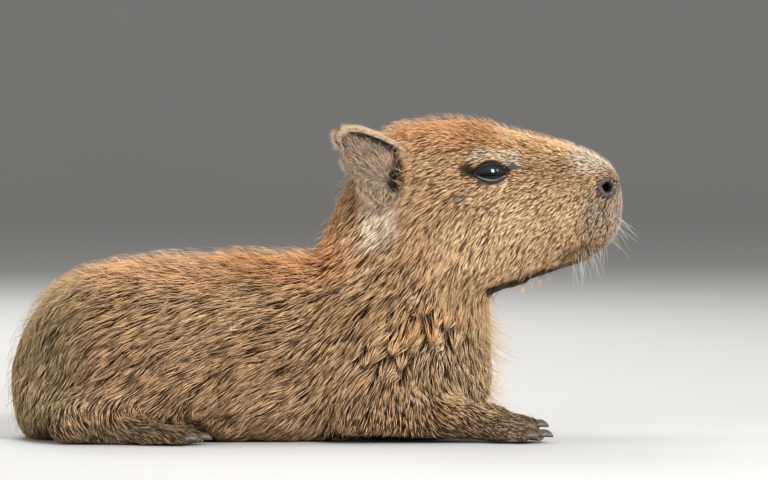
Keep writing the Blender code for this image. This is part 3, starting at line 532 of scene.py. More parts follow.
def openLids(obj):
    places = points(obj)
    side = np.where(places[:, 1] < 0, -1, 1)
    middle = np.column_stack((np.full(len(places), eyeAt.x), side * eyeAt.y, np.full(len(places), eyeAt.z)))
    outside, flat = outsideLids(places)
    away = places - middle
    far = np.linalg.norm(away, axis=1)
    near = (far < 0.030) & (outside < 0.012)
    # The verge of the opening is drawn on to its outline
    snap = near & (np.abs(outside) < 0.00022)
    flatWay = unit(flat)
    away[snap] -= flatWay[snap] * outside[snap, None]
    outside[snap] = 0
    edge = np.clip(outside / face["lidRound"], 0, 1)
    proud = face["lidProud"] + face["browProud"] * smooth(flat[:, 2], 0.0, 0.004)
    lid = eyeRadius + 0.0002 + proud * np.sqrt(1 - (1 - edge) ** 2)
    # A shallow fold runs round behind the rim of the lid
    lid -= 0.0007 * np.exp(-((outside - 0.0038) / 0.0009) ** 2)
    inside = eyeRadius - 0.0030 * smooth(-outside, 0.0, 0.0009)
    wanted = np.where(outside >= 0, lid, inside)
    keep = smooth(outside, 0.0030, face["lidReach"])
    reach = wanted * (1 - keep) + np.linalg.norm(away, axis=1) * keep
    moved = middle + unit(away) * reach[:, None]
    places[near] = moved[near]
    setPoints(obj, places)


def surfaceTree(obj):
    obj.data.calc_loop_triangles()
    corners = readAll(obj.data.loop_triangles, "vertices", 3, np.int32)
    return BVHTree.FromPolygons(points(obj).tolist(), corners.tolist()), corners


def nostrilStart(tree):
    ahead, height = face["nostrilAt"]
    return tree.ray_cast(Vector((ahead, 0.08, height)), Vector((0, -1, 0)))[0]


# How far places are from a line that starts at the nostril's middle
def fromNostril(places, start, run):
    return lineDistance(leftHand(places), start, np.array(start) + np.array(run))


# How far places are from the line down the nostril
def fromHole(places, start):
    return fromNostril(places, start, nostrilWay * face["nostrilDepth"])[0]


# How far places are from the line between the lips, and how far along it they are from its corner
def fromLips(places):
    front, corner = face["lipFront"], face["lipCorner"]
    return lineDistance(places[:, (0, 2)], corner, (front[0] + 0.020, front[1] + 0.006))


def openNostrils(obj, start):
    places = points(obj)
    hole = fromHole(places, start)
    tail, share = fromNostril(places, start, face["nostrilTail"])
    wingFold, foldShare = fromNostril(places, start, face["wingFold"])
    depth = 0.0080 * (1 - smooth(hole, 0.0016, 0.0038))
    depth = depth + 0.0036 * (1 - smooth(tail, 0.0006, 0.0024)) * (1 - share * 0.5)
    depth += 0.0016 * (1 - smooth(wingFold, 0.0004, 0.0018)) * (1 - foldShare * 0.7)
    # The wing of the nostril stands up round the opening
    wing = 0.0006 * np.exp(-((hole - 0.0056) / 0.0016) ** 2)
    near = np.linalg.norm(leftHand(places) - np.array(start), axis=1) < 0.016
    places[near] += (sidedWays(nostrilWay, places) * (depth - wing)[:, None])[near]
    setPoints(obj, places)


def cutMouth(obj):
    places, normals = points(obj), normalsOf(obj)
    front, corner = face["lipFront"], face["lipCorner"]
    profile = places[:, (0, 2)]
    far, share = fromLips(places)
    line = corner[1] + (profile[:, 0] - corner[0]) * (front[1] - corner[1]) / (front[0] - corner[0])
    below = line - profile[:, 1]
    onHead = (profile[:, 0] > corner[0] - 0.004) & (profile[:, 1] < 0.150)
    fade = smooth(share, 0.0, 0.25)
    groove = face["grooveDepth"] * np.exp(-(far / 0.0011) ** 2) * fade
    # The upper lip hangs over the lower one
    tuck = 0.0022 * smooth(below, 0.0, 0.0022) * (1 - smooth(below, 0.004, 0.016)) * fade
    chinTuck = 0.0030 * smooth(below, 0.0, 0.003) * smooth(profile[:, 0], 0.188, 0.204)
    drop = (groove + tuck) * onHead
    places -= normals * drop[:, None]
    places[:, 0] -= chinTuck * onHead
    setPoints(obj, places)


def buildSkin():
    skin = withFeet(wholeBody())
    print("body fused", len(skin.data.polygons))
    places = points(skin)
    setPoints(skin, np.column_stack((places[:, :2], np.maximum(places[:, 2], clear["skin"]))))
    noseEnd = (face["nostrilAt"][0], 0.025, face["nostrilAt"][1])
    refine(skin, ((tuple(eyeAt), (0.0185, 0.03, 0.0150)), (noseEnd, (0.014, 0.012, 0.013))), 2)
    places, normals = points(skin), normalsOf(skin)
    _, _, depth = combAt(places)
    # Between the hairs the skin lies this far inside the outline of the coat
    nearEye, _ = outsideLids(places)
    depth *= smooth(nearEye, 0.001, 0.008)
    places -= normals * (depth * 0.92)[:, None]
    places[:, 2] = np.maximum(places[:, 2], clear["skin"])
    setPoints(skin, places)
    makeRoomForEars(skin)
    openLids(skin)
    tree, _ = surfaceTree(skin)
    start = nostrilStart(tree)
    openNostrils(skin, start)
    cutMouth(skin)
    shadeSmooth(skin)
    print("skin shaped", len(skin.data.polygons), "faces")
    return skin, start


# Strands: flat tapered blades from arrays, each a root, rings and a tip

def meshFrom(name, verts, faces3, faces4):
    mesh = bpy.data.meshes.new(name)
    mesh.vertices.add(len(verts))
    mesh.vertices.foreach_set("co", verts.astype(np.float32).ravel())
    loops = np.concatenate((faces4.ravel(), faces3.ravel())).astype(np.int32)
    mesh.loops.add(len(loops))
    mesh.loops.foreach_set("vertex_index", loops)
    starts = np.concatenate((np.arange(len(faces4)) * 4, len(faces4) * 4 + np.arange(len(faces3)) * 3))
    mesh.polygons.add(len(starts))
    mesh.polygons.foreach_set("loop_start", starts.astype(np.int32))
    mesh.update(calc_edges=True)
    mesh.polygons.foreach_set("use_smooth", np.ones(len(starts), bool))
    obj = bpy.data.objects.new(name, mesh)
    bpy.context.scene.collection.objects.link(obj)
    return obj


# A value on each vertex: rows of three are places, single ones numbers
def setAttribute(obj, name, values):
    kind, key = ("FLOAT_VECTOR", "vector") if values.ndim == 2 else ("FLOAT", "value")
    made = obj.data.attributes.new(name, kind, "POINT")
    made.data.foreach_set(key, values.astype(np.float32).ravel())


# path: (strands, rings + tip, 3), up: the same, width and thick: one number a strand
def strandMesh(name, path, up, width, thick, shares, rootUv, rootPlaces, tint):
    count, steps = path.shape[:2]
    rings = steps - 1
    corners = rings * 3 + 1
    onward = np.empty_like(path)
    onward[:, 0] = path[:, 1] - path[:, 0]
    onward[:, 1:] = path[:, 1:] - path[:, :-1]
    onward[:, 1:-1] += path[:, 2:] - path[:, 1:-1]
    across = unit(np.cross(up, unit(onward)))
    rise = unit(np.cross(unit(onward), across))
    half = width[:, None, None] / 2 * np.array(shares)[None, :rings, None]
    high = thick[:, None, None] * np.array(shares)[None, :rings, None]
    verts = np.empty((count, corners, 3))
    aside, out = across[:, :rings] * half, rise[:, :rings] * high
    for first, push in enumerate((aside, -aside, out)):
        verts[:, first:rings * 3:3] = path[:, :rings] + push
    verts[:, -1] = path[:, -1]
    quads, tris = [], [(0, 1, 2)]
    for ring in range(rings - 1):
        a, b = ring * 3, ring * 3 + 3
        quads += [(a + 2, b + 2, b, a), (a + 2, a + 1, b + 1, b + 2), (a, b, b + 1, a + 1)]
    last, tip = (rings - 1) * 3, rings * 3
    tris += [(last + 2, tip, last), (last + 2, last + 1, tip), (last, tip, last + 1)]
    base = (np.arange(count) * corners)[:, None, None]
    faces4 = (np.array(quads, int).reshape(-1, 4)[None] + base).reshape(-1, 4)
    faces3 = (np.array(tris)[None] + base).reshape(-1, 3)
    obj = meshFrom(name, verts.reshape(-1, 3), faces3, faces4)
    along = np.append(np.repeat(np.arange(rings) / rings, 3), 1.0)
    setAttribute(obj, "along", np.tile(along, count))
    black, grey = lidShades(rootPlaces).T
    for word, values in (("tint", tint), ("place", rootPlaces), ("black", black), ("grey", grey)):
        setAttribute(obj, word, np.repeat(values, corners, axis=0))
    # Each strand is a small patch of the bake map at its root's place
    patch = 0.003
    local = np.column_stack((along, np.append(np.tile((0.0, 1.0, 0.5), rings), 0.5))) * patch
    pointUv = (rootUv[:, None, :] + local[None]).reshape(-1, 2)
    loopAt = readAll(obj.data.loops, "vertex_index", 1, np.int32)
    layer = obj.data.uv_layers.new(name="OFBake")
    layer.data.foreach_set("uv", pointUv[loopAt].astype(np.float32).ravel())
    return obj


# Unwrap round a bent line through the body: length along it, and the turn about it
def unwrapRound(places, line):
    line = np.array(line, float)
    best = np.full(len(places), np.inf)
    found = np.zeros((len(places), 2))
    done, total = 0.0, np.linalg.norm(np.diff(line, axis=0), axis=1).sum()
    for start, end in zip(line, line[1:]):
        run = end - start
        long = np.linalg.norm(run)
        share = np.clip(((places - start) @ run) / (run @ run), 0, 1)
        away = places - start - share[:, None] * run
        far = np.linalg.norm(away, axis=1)
        ahead = run / long
        side = np.array((0.0, 1.0, 0.0))
        above = np.cross(ahead, side)
        above *= 1 if above[2] >= 0 else -1
        turn = np.arctan2(away @ side, away @ above) / (2 * math.pi) + 0.5
        closer = far < best
        best[closer] = far[closer]
        found[closer, 0] = (done + share[closer] * long) / total
        found[closer, 1] = turn[closer]
        done += long
    return found


spine = ((-0.210, 0, 0.055), (-0.030, 0, 0.065), (0.060, 0, 0.100), (0.090, 0, 0.155), (0.220, 0, 0.160))


def patchPlaces(places, line):
    found = unwrapRound(places, line)
    low, high = found.min(0), found.max(0)
    return 0.004 + (found - low) / np.maximum(high - low, 1e-6) * 0.988


# The coat is pale strands over darker under-hair, each set laid by the same comb
coat = {
    "thick": 0.35, "bigShare": 0.016, "wetShare": 0.017, "bigStray": math.radians(5),
    "guardShare": 0.11, "guardLift": 2.5,
}
# Pieces of the coat on each side: name, x from and to
zones = {
    "body": (("coat_rump", -1, -0.105), ("coat_flank", -0.105, -0.005), ("coat_shoulder", -0.005, 1)),
    "head": (("coat_crown", -1, 0.100), ("coat_face", 0.100, 0.160), ("coat_muzzle", 0.160, 1)),
}
# strands, rings' shares of the width, width in mm, shares of the comb's length and depth, wander, share of
# leaders, how close their locks draw in, and tints: usual, spread, share of the others, the others'
layers = {
    ("body", "top"): dict(count=41000, shares=(0.9, 1.0), width=0.50, length=(0.85, 1.35), rise=(0.85, 1.20),
                          quick=3.0, wander=2.2, leaders=0.25, pull=0.30, tints=(0.76, 0.14, 0.24, 0.22)),
    ("body", "under"): dict(count=26000, shares=(0.9, 1.0), width=0.72, length=(0.7, 1.0), rise=(0.45, 0.75),
                            quick=1.8, wander=5.0, leaders=0.33, pull=0.22, tints=(0.12, 0.08, 0.26, 0.50)),
    ("head", "top"): dict(count=41000, shares=(0.9, 1.0), width=0.37, length=(1.15, 1.70), rise=(0.85, 1.20),
                          quick=2.6, wander=2.6, leaders=0.25, pull=0.26, tints=(0.80, 0.10, 0.14, 0.25)),
    ("head", "under"): dict(count=70000, shares=(1.0,), width=0.46, length=(0.8, 1.15), rise=(0.45, 0.80),
                            quick=1.8, wander=5.0, leaders=0.25, pull=0.22, tints=(0.30, 0.14, 0.20, 0.06)),
}
# Wet pointed locks at the side of the neck's foot: middle and reach
wetLocks = (((0.098, 0.050, 0.086), (0.030, 0.034, 0.022)), ((0.056, 0.060, 0.066), (0.026, 0.030, 0.018)))


def onHead(places):
    left = leftHand(places)
    return smooth(left[:, 0] * 0.80 + left[:, 2] * 0.60, 0.132, 0.146)


# How many hairs stand at a place, as a share of the thickest
def densityAt(places, normals):
    left = leftHand(places)
    dense = 0.55 + 0.45 * smooth(left[:, 0], 0.14, 0.19) * onHead(places)
    dense *= 1 - 0.85 * smooth(-normals[:, 2], 0.55, 0.95) * (1 - smooth(left[:, 2], 0.03, 0.06))
    dense[left[:, 2] < 0.0016] = 0
    outside, _ = outsideLids(places)
    dense *= smooth(outside, 0.0014, 0.0024) * (1 - 0.5 * lidShades(places).max(1))
    # Sparse on the front of the muzzle
    dense *= 1 - 0.50 * (1 - smooth(nearMiddle(places, (0.216, 0.0, 0.158), (0.010, 0.020, 0.030)), 0.7, 1.2))
    return dense * (1 - insideEar(places))


def rotateAbout(ways, axes, turns):
    cosine, sine = np.cos(turns)[:, None], np.sin(turns)[:, None]
    return ways * cosine + np.cross(axes, ways) * sine


def nearest(tree, places):
    spots, ways = np.empty((len(places), 3)), np.empty((len(places), 3))
    for i, place in enumerate(places.tolist()):
        spot, way = tree.find_nearest(place)[:2]
        spots[i] = spot
        ways[i] = way
    return spots, ways


# Roots spread over a surface: weigh gives each triangle's thickness of hair
def spreadRoots(obj, corners, weigh, count):
    places, normals = points(obj), normalsOf(obj)
    a, b, c = (places[corners[:, k]] for k in range(3))
    across = np.cross(b - a, c - a)
    weight = np.linalg.norm(across, axis=1) * weigh((a + b + c) / 3, unit(across))
    chosen = draw.choice(len(weight), size=count, p=weight / weight.sum())
    u, v = draw.random(count), draw.random(count)
    over = u + v > 1
    u[over], v[over] = 1 - u[over], 1 - v[over]
    shares = np.column_stack((1 - u - v, u, v))[:, :, None]
    corner = corners[chosen]
    return (shares * places[corner]).sum(1), unit((shares * normals[corner]).sum(1))


# The nearest leader of each hair
def leadersOf(root, share):
    leaders = np.nonzero(draw.random(len(root)) < share)[0]
    kd = KDTree(len(leaders))
    for i, leader in enumerate(leaders.tolist()):
        kd.insert(root[leader], i)
    kd.balance()
    return leaders[[kd.find(p)[1] for p in root.tolist()]]


# Hair laid along a surface: the path of each strand, and the way out of the skin along it.
# Each level of locks: leader of each hair, how near to it the tip is drawn, how far the lock strays
def layHair(tree, root, up, way, length, rise, steps, levels, wander=math.radians(5), quick=1.8):
    count = len(root)
    turn = draw.normal(0, 1, count) * wander
    for follows, _, stray in levels:
        turn += draw.normal(0, 1, count)[follows] * stray
    heading = rotateAbout(unit(way - up * (way * up).sum(1, keepdims=True)), up, turn)
    path = np.empty((count, steps + 1, 3))
    ups = np.empty_like(path)
    path[:, 0], ups[:, 0] = root - up * 0.0004, up
    place = root
    for step in range(1, steps + 1):
        place = place + heading * (length / steps)[:, None]
        place, wayUp = nearest(tree, place)
        wayUp = unit(wayUp * 0.6 + ups[:, step - 1] * 0.4)
        share = step / steps
        path[:, step] = place + wayUp * (rise * (1 - (1 - share) ** quick))[:, None]
        ups[:, step] = wayUp
        heading = unit(heading - wayUp * (heading * wayUp).sum(1, keepdims=True))
    for follows, pull, _ in levels:
        for step in range(1, steps + 1):
            path[:, step] += (path[follows, step] - path[:, step]) * (pull * (step / steps) ** 1.3)[:, None]
    path[:, 1:, 2] = np.maximum(path[:, 1:, 2], clear["hair"])
    return path, ups


def hairTints(lock, guard, usual, spread, others, other):
    count = len(lock)
    tint = np.where(draw.random(count) < others, other, usual)
    tint += spread * (0.7 * draw.normal(0, 1, count)[lock] + 0.7 * draw.normal(0, 1, count))
    return np.clip(np.where(guard, tint + 0.15, tint), 0, 1)


# One layer of the coat: its strands as paths, with their widths and tints
def growLayer(tree, root, up, way, kind, level):
    row = layers[kind, level]
    count = len(root)
    _, length, depth = combAt(root)
    long = smooth(length, 0.006, 0.018)
    wet = np.zeros(count)
    for middle, reach in wetLocks:
        wet = np.maximum(wet, 1 - smooth(nearMiddle(root, middle, reach), 0.6, 1.1))
    # Along the back and the crown more hairs stand out of the coat
    topmost = smooth(up[:, 2], 0.4, 0.85)
    guards = coat["guardShare"] * (0.5 + 1.7 * topmost) * (1 - wet) * (0.5 if kind == "head" else 1)
    guard = (draw.random(count) < guards) & (level == "top")
    lock, big = leadersOf(root, row["leaders"]), leadersOf(root, row["leaders"] * 0.35)
    length = length * draw.uniform(*row["length"], count) * np.where(guard, 0.85, 1)
    rise = depth * draw.uniform(*row["rise"], count) * draw.uniform(0.75, 1.1, count)[lock]
    lift = coat["guardLift"] * (0.95 if kind == "body" else 1.1)
    rise = rise * (1 + (0.35 if level == "top" else -0.4) * wet)
    rise = np.where(guard, depth * lift * draw.uniform(0.7, 1.3, count), rise)
    tight = np.where(guard, 0.1, 1)
    levels = ((lock, row["pull"] * tight, math.radians(4)),
              (big, (0.04 + 0.10 * long) * tight, math.radians(3)),
              (leadersOf(root, coat["wetShare"]), 0.92 * wet, math.radians(2)))
    path, ups = layHair(tree, root, up, way, length, rise, len(row["shares"]), levels,
                        math.radians(row["wander"]), row["quick"])
    width = row["width"] / 1000 * draw.uniform(0.75, 1.25, count) * np.where(guard, 0.7, 1)
    tint = hairTints(lock, guard, *row["tints"])
    return path, ups, width, tint


def growCoat(skin, nostril, material):
    tree, corners = surfaceTree(skin)

    def weighAll(centres, normals, kind):
        weight = densityAt(centres, normals)
        weight = weight * smooth(fromHole(centres, nostril), 0.0060, 0.0084)
        weight = weight * smooth(fromLips(centres)[0], 0.0010, 0.0022)
        return weight * np.abs(onHead(centres) - (0 if kind == "head" else 1))

    for kind in ("body", "head"):
        counts = [layers[kind, level]["count"] for level in ("top", "under")]
        root, up = spreadRoots(skin, corners, lambda *found: weighAll(*found, kind), sum(counts))
        way = combAt(root)[0]
        stray = draw.normal(0, coat["bigStray"], len(root))[leadersOf(root, coat["bigShare"])]
        way = rotateAbout(unit(way - up * (way * up).sum(1, keepdims=True)), up, stray)
        uvAt = patchPlaces(root, spine)
        parts = {}
        for level, members in (("top", slice(0, counts[0])), ("under", slice(counts[0], None))):
            path, ups, width, tint = growLayer(tree, root[members], up[members], way[members], kind, level)
            ahead, across = root[members][:, 0], root[members][:, 1]
            for name, start, end in zones[kind]:
                for word, side in sides:
                    onSide = (across < 0) == (side < 0)
                    inPiece = np.nonzero((ahead >= start) & (ahead < end) & onSide)[0]
                    parts.setdefault(f"{name}_{word}", []).append(strandMesh(
                        f"{name}_{word}_{level}", path[inPiece], ups[inPiece], width[inPiece],
                        width[inPiece] * coat["thick"], layers[kind, level]["shares"], uvAt[members][inPiece],
                        root[members][inPiece], tint[inPiece]))
        for name, pair in parts.items():
            obj = join(pair, name)
            print(name, sum(len(polygon.vertices) - 2 for polygon in obj.data.polygons), "triangles")
            finishPiece(obj, "coat", material)


hairSunk = 0.0006  # how deep the root of a free hair is in the skin


# Hairs that stand free of the skin, each a straight run with a bend added towards its tip.
# Each hair is a row: root, way out of the skin, way it points, length. `lower` is how far below the
# root its colour is taken from
def freeHairs(name, hairs, widths, bend, steps, tint, lower=0.0):
    roots, ups, ways, lengths = (np.array(column, float) for column in zip(*hairs))
    ups, ways, lengths = unit(ups), unit(ways), lengths[:, None, None]
    share = (np.arange(steps + 1) / steps)[None, :, None]
    path = (roots - ups * hairSunk)[:, None, :] + ways[:, None, :] * lengths * share
    path = path + np.array(bend)[..., None, :] * lengths * share ** 2
    path[..., 2] = np.maximum(path[..., 2], clear["hair"])
    colourAt = roots - np.multiply.outer(np.broadcast_to(lower, len(roots)), (0, 0, 1))
    return strandMesh(name, path, np.repeat(ups[:, None, :], steps + 1, axis=1), widths, widths * 0.7,
                      np.linspace(1, 0.45, steps), patchPlaces(roots, spine), colourAt, tint)


# Long curved hairs on the front of the chest and the throat, hairs of the cheek over the ear's front
# edge, and two wet tufts under the jaw
fringe = {
    # x, half width, z from and to, hairs, way, bend, shortest and longest
    "chest": (0.145, 0.030, 0.034, 0.094, 300, (0.30, 0.15, -0.95), (0.50, 0, 0.16), 0.015, 0.030),
    "throat": (0.145, 0.020, 0.088, 0.106, 120, (0.15, 0.10, -1.00), (0.30, 0, -0.10), 0.010, 0.020),
    "templeHairs": 620,
    # x, y, z and lean of each tuft, its hairs, and how far below them their brown is taken from
    "tufts": ((0.1515, -0.012, 0.112, -0.10), (0.1660, -0.012, 0.116, -0.35)),
    "tuftHairs": 8, "tuftLower": 0.012,
}


def buildFringe(skin, material):
    tree, _ = surfaceTree(skin)
    hairs, bends, widths = [], [], []
    for ahead, wide, low, high, count, way, bend, short, far in (fringe["chest"], fringe["throat"]):
        for _ in range(count):
            across = draw.uniform(-wide, wide)
            hit = tree.ray_cast(Vector((ahead, across, draw.uniform(low, high))), Vector((-1, 0, 0)))
            if hit[0] is None or hit[0].x < 0.085 or hit[1].x < 0.55:
                continue
            heading = mirrored(way, np.sign(across)) + draw.normal(0, 0.16, 3)
            bends.append(np.array(bend) + draw.normal(0, 0.10, 3))
            hairs.append((hit[0], hit[1], heading, draw.uniform(short, far)))
            widths.append(draw.uniform(0.00024, 0.00040))
    facing, behind, above = earAxes(1)
    rim = closedThrough(ear["rim"], ear["segments"])
    frontRim = rim[(rim[:, 0] < -0.45) & (rim[:, 1] < 0.50)]
    for _ in range(fringe["templeHairs"]):
        flat = frontRim[draw.integers(len(frontRim))] * draw.uniform(0.98, 1.20)
        place = np.array(ear["at"]) + (behind * flat[0] + above * flat[1]) * ear["radius"]
        side = draw.choice((-1, 1))
        spot, out = tree.find_nearest(Vector(mirrored(place, side)))[:2]
        lift = mirrored(facing, side)
        heading = mirrored((-0.95, 0.10, -0.30), side) + lift * 0.38 + draw.normal(0, 0.10, 3)
        bends.append(-lift * 0.30)
        hairs.append((spot, out, heading, draw.uniform(0.0055, 0.0105)))
        widths.append(draw.uniform(0.00030, 0.00044))
    for ahead, across, height, lean in fringe["tufts"]:
        spot, out = tree.find_nearest(Vector((ahead, across, height - 0.010)))[:2]
        for _ in range(fringe["tuftHairs"]):
            away = draw.normal(0, 0.0012, 3)
            tip = np.array(spot) + np.array((lean * 0.010, 0, -0.0125)) + away * 0.15
            root = np.array(spot) + away * np.array((1.4, 1, 0.3))
            bends.append((0, 0, 0))
            hairs.append((root, out, tip - root, np.linalg.norm(tip - root) * draw.uniform(0.8, 1.05)))
            widths.append(0.00038)
    count = len(hairs)
    tint = np.clip(0.82 + 0.16 * draw.normal(0, 1, count), 0, 1)
    # The wet tufts keep the brown of the coat below the jaw's painted dark edge
    inTuft = np.arange(count) >= count - fringe["tuftHairs"] * len(fringe["tufts"])
    obj = freeHairs("coat_fringe", hairs, np.array(widths), bends, 4, tint, fringe["tuftLower"] * inTuft)
    finishPiece(obj, "coat", material)


# Shader helpers

# A node with its settings. A socket takes a value, or a link from another node's output
def addNode(tree, kind, settings, sockets):
    made = tree.nodes.new("ShaderNode" + kind)
    for key, value in settings.items():
        setattr(made, key, value)
    for key, value in sockets.items():
        if isinstance(value, bpy.types.NodeSocket):
            tree.links.new(value, made.inputs[key])
        else:
            made.inputs[key].default_value = value
    return made


def mathNode(tree, operation, one, two=0.0):
    return addNode(tree, "Math", {"operation": operation}, {0: one, 1: two}).outputs[0]


def vectorNode(tree, operation, one, two=(0.0, 0.0, 0.0)):
    made = addNode(tree, "VectorMath", {"operation": operation}, {0: one, 1: two})
    return made.outputs["Value" if operation == "LENGTH" else "Vector"]


def mixColour(tree, share, one, two, blend="MIX"):
    one, two = (tone if isinstance(tone, bpy.types.NodeSocket) else (*tone, 1.0) for tone in (one, two))
    settings = {"data_type": "RGBA", "blend_type": blend}
    return addNode(tree, "Mix", settings, {0: share, 6: one, 7: two}).outputs[2]


def noiseNode(tree, vector, scale, detail=2.0, stretch=None):
    if stretch:
        vector = vectorNode(tree, "MULTIPLY", vector, stretch)
    return addNode(tree, "TexNoise", {}, {"Vector": vector, "Scale": scale, "Detail": detail}).outputs[0]


def rangeNode(tree, value, low, high, start=0.0, end=1.0):
    return addNode(tree, "MapRange", {"interpolation_type": "SMOOTHSTEP"}, {
        "Value": value, "From Min": low, "From Max": high, "To Min": start, "To Max": end}).outputs[0]


# One tone up to `low`, the other from `high` on
def twoTones(tree, value, low, high, one, two):
    return mixColour(tree, rangeNode(tree, value, low, high), one, two)


def attributeNode(tree, name, output="Fac"):
    return addNode(tree, "Attribute", {"attribute_name": name}, {}).outputs[output]


# Place in the part's frame, for pieces that carry no "place" of their own
def objectPlace(tree):
    return addNode(tree, "TexCoord", {}, {}).outputs["Object"]


def newGroup(name, inputs, outputs):
    group = bpy.data.node_groups.new(name, "ShaderNodeTree")
    for word, kind in inputs:
        group.interface.new_socket(word, in_out="INPUT", socket_type="NodeSocket" + kind)
    for word, kind in outputs:
        group.interface.new_socket(word, in_out="OUTPUT", socket_type="NodeSocket" + kind)
    return group, group.nodes.new("NodeGroupInput"), group.nodes.new("NodeGroupOutput")


# Markings, in thousandths: middle, reach, tone of the hairs' tips, tone of their roots. The jaw's is painted
# shade
markings = {
    "rump": (-200, 0, 60, 75, 120, 100, 600, 440, 250, 14, 6, 2),
    "back": (-85, 0, 128, 120, 75, 34, 800, 490, 270, 40, 14, 4),
    "withers": (0, 0, 135, 65, 60, 40, 800, 440, 210, 65, 18, 5),
    "shoulder": (35, 60, 70, 60, 50, 45, 660, 430, 240, 20, 8, 2),
    "wet": (95, 50, 80, 36, 40, 22, 740, 430, 210, 18, 6, 1),
    "neck": (70, 50, 155, 52, 60, 52, 800, 530, 310, 66, 26, 7),
    "chest": (100, 0, 55, 60, 80, 45, 720, 520, 310, 40, 18, 5),
    "cheek": (145, 40, 145, 60, 50, 48, 880, 620, 380, 88, 40, 13),
    "crown": (98, 0, 216, 70, 60, 24, 720, 415, 210, 130, 50, 14),
    "forehead": (165, 0, 205, 40, 40, 22, 820, 550, 310, 140, 62, 20),
    "brow": (128.5, 34, 199, 18, 20, 5.6, 840, 670, 460, 120, 70, 34),
    "browFront": (144, 34, 195.5, 8, 20, 5.8, 800, 660, 500, 120, 80, 46),
    "noseBridge": (202, 0, 194.5, 24, 40, 14.5, 720, 600, 460, 120, 80, 45),
    "muzzle": (206, 0, 156, 26, 50, 34, 460, 340, 230, 12, 7, 4),
    "pits": (197.5, 30, 162, 7, 30, 12, 460, 360, 250, 6, 4, 3),
    "lip": (196, 20, 132, 24, 30, 8.5, 380, 235, 130, 22, 9, 3),
    # The dark jaw is painted shade under the upper lip and the chin
    "jaw": (172, 20, 116, 26, 40, 7.5, 240, 120, 55, 20, 8, 3),
    "muzzleFront": (215, 0, 155, 11, 50, 32, 520, 410, 330, 120, 84, 68),
    "belowEar": (51, 50, 157, 17, 30, 23, 1000, 860, 660, 420, 310, 195),
    "cheekSpot": (110, 45, 166.6, 4.2, 20, 4, 460, 360, 260, 60, 45, 35),
    "feet": (130, 50, 4, 60, 40, 18, 360, 250, 150, 35, 20, 12),
    "hindFeet": (-120, 75, 4, 75, 30, 18, 360, 250, 150, 35, 20, 12),
}


def coatMarkings():
    group, inputs, outputs = newGroup(
        "coat markings", (("Place", "Vector"), ("Along", "Float"), ("Tint", "Float")), (("Color", "Color"),))
    place = inputs.outputs["Place"]
    cloud = addNode(group, "TexNoise", {}, {"Vector": place, "Scale": 90.0, "Detail": 3.0}).outputs["Color"]
    wobble = vectorNode(group, "SUBTRACT", cloud, (0.5,) * 3)
    # Only the sideways place is mirrored
    keepSigned = vectorNode(group, "MULTIPLY", place, (1.0, 0.0, 1.0))
    across = vectorNode(group, "MULTIPLY", vectorNode(group, "ABSOLUTE", place), (0.0, 1.0, 0.0))
    left = vectorNode(group, "ADD", keepSigned, across)
    left = vectorNode(group, "ADD", left, vectorNode(group, "MULTIPLY", wobble, (0.016,) * 3))
    light, dark = (0.66, 0.43, 0.245), (0.022, 0.008, 0.002)
    for row in markings.values():
        middle, reach, tips, roots = (np.array(row) / 1000).reshape(4, 3).tolist()
        away = vectorNode(group, "SUBTRACT", left, middle)
        away = vectorNode(group, "DIVIDE", away, reach)
        share = rangeNode(group, vectorNode(group, "LENGTH", away), 1.15, 0.70)
        light = mixColour(group, share, light, tips)
        dark = mixColour(group, share, dark, roots)
    # Along a hair the dark root gives way to the paler end, later on a dark-tinted one
    tint = mathNode(group, "MULTIPLY", mathNode(group, "SUBTRACT", inputs.outputs["Tint"], 0.5), 1.1)
    level = mathNode(group, "ADD", inputs.outputs["Along"], tint)
    share = rangeNode(group, level, 0.10, 0.95)
    colour = mixColour(group, share, dark, light)
    # Patches a few centimetres wide are a little darker or redder
    patches = twoTones(group, noiseNode(group, place, 38.0, 3.0), 0.35, 0.65,
                       (0.84, 0.79, 0.74), (1.08, 1.06, 1.04))
    colour = mixColour(group, 1.0, colour, patches, "MULTIPLY")
    group.links.new(colour, outputs.inputs["Color"])
    return group


def newMaterial(name, roughness, specular, sheen=0.0):
    material = bpy.data.materials.new(name)
    material.use_nodes = True
    shader = material.node_tree.nodes["Principled BSDF"]
    settings = (("Roughness", roughness), ("Specular IOR Level", specular), ("Sheen Weight", sheen))
    for key, value in settings:
        shader.inputs[key].default_value = value
    return material, material.node_tree, shader


def useColour(tree, shader, tone):
    tree.links.new(tone, shader.inputs["Base Color"])


def useBump(tree, shader, strength, distance, height):
    bump = addNode(tree, "Bump", {}, {"Strength": strength, "Distance": distance, "Height": height})
    tree.links.new(bump.outputs["Normal"], shader.inputs["Normal"])


def hairMaterial(group):
    material, tree, shader = newMaterial("coat hair", 0.50, 0.10)
    made = addNode(tree, "Group", {"node_tree": group}, {
        "Place": attributeNode(tree, "place", "Vector"), "Along": attributeNode(tree, "along"),
        "Tint": attributeNode(tree, "tint")})
    useColour(tree, shader, lidColours(tree, made.outputs["Color"]))
    return material


# The dark skin and hairs round the eye, partly painted shadow of the upper lid, and the painted shade along the
# jaw's lower edge
def lidColours(tree, colour):
    colour = mixColour(tree, attributeNode(tree, "grey"), colour, (0.105, 0.095, 0.095))
    return mixColour(tree, attributeNode(tree, "black"), colour, (0.016, 0.011, 0.009))


def maskNear(tree, place, middle, reach, soft=0.3):
    away = vectorNode(tree, "DIVIDE", vectorNode(tree, "SUBTRACT", place, middle), reach)
    return rangeNode(tree, vectorNode(tree, "LENGTH", away), 1.0 + soft, 1.0 - soft)


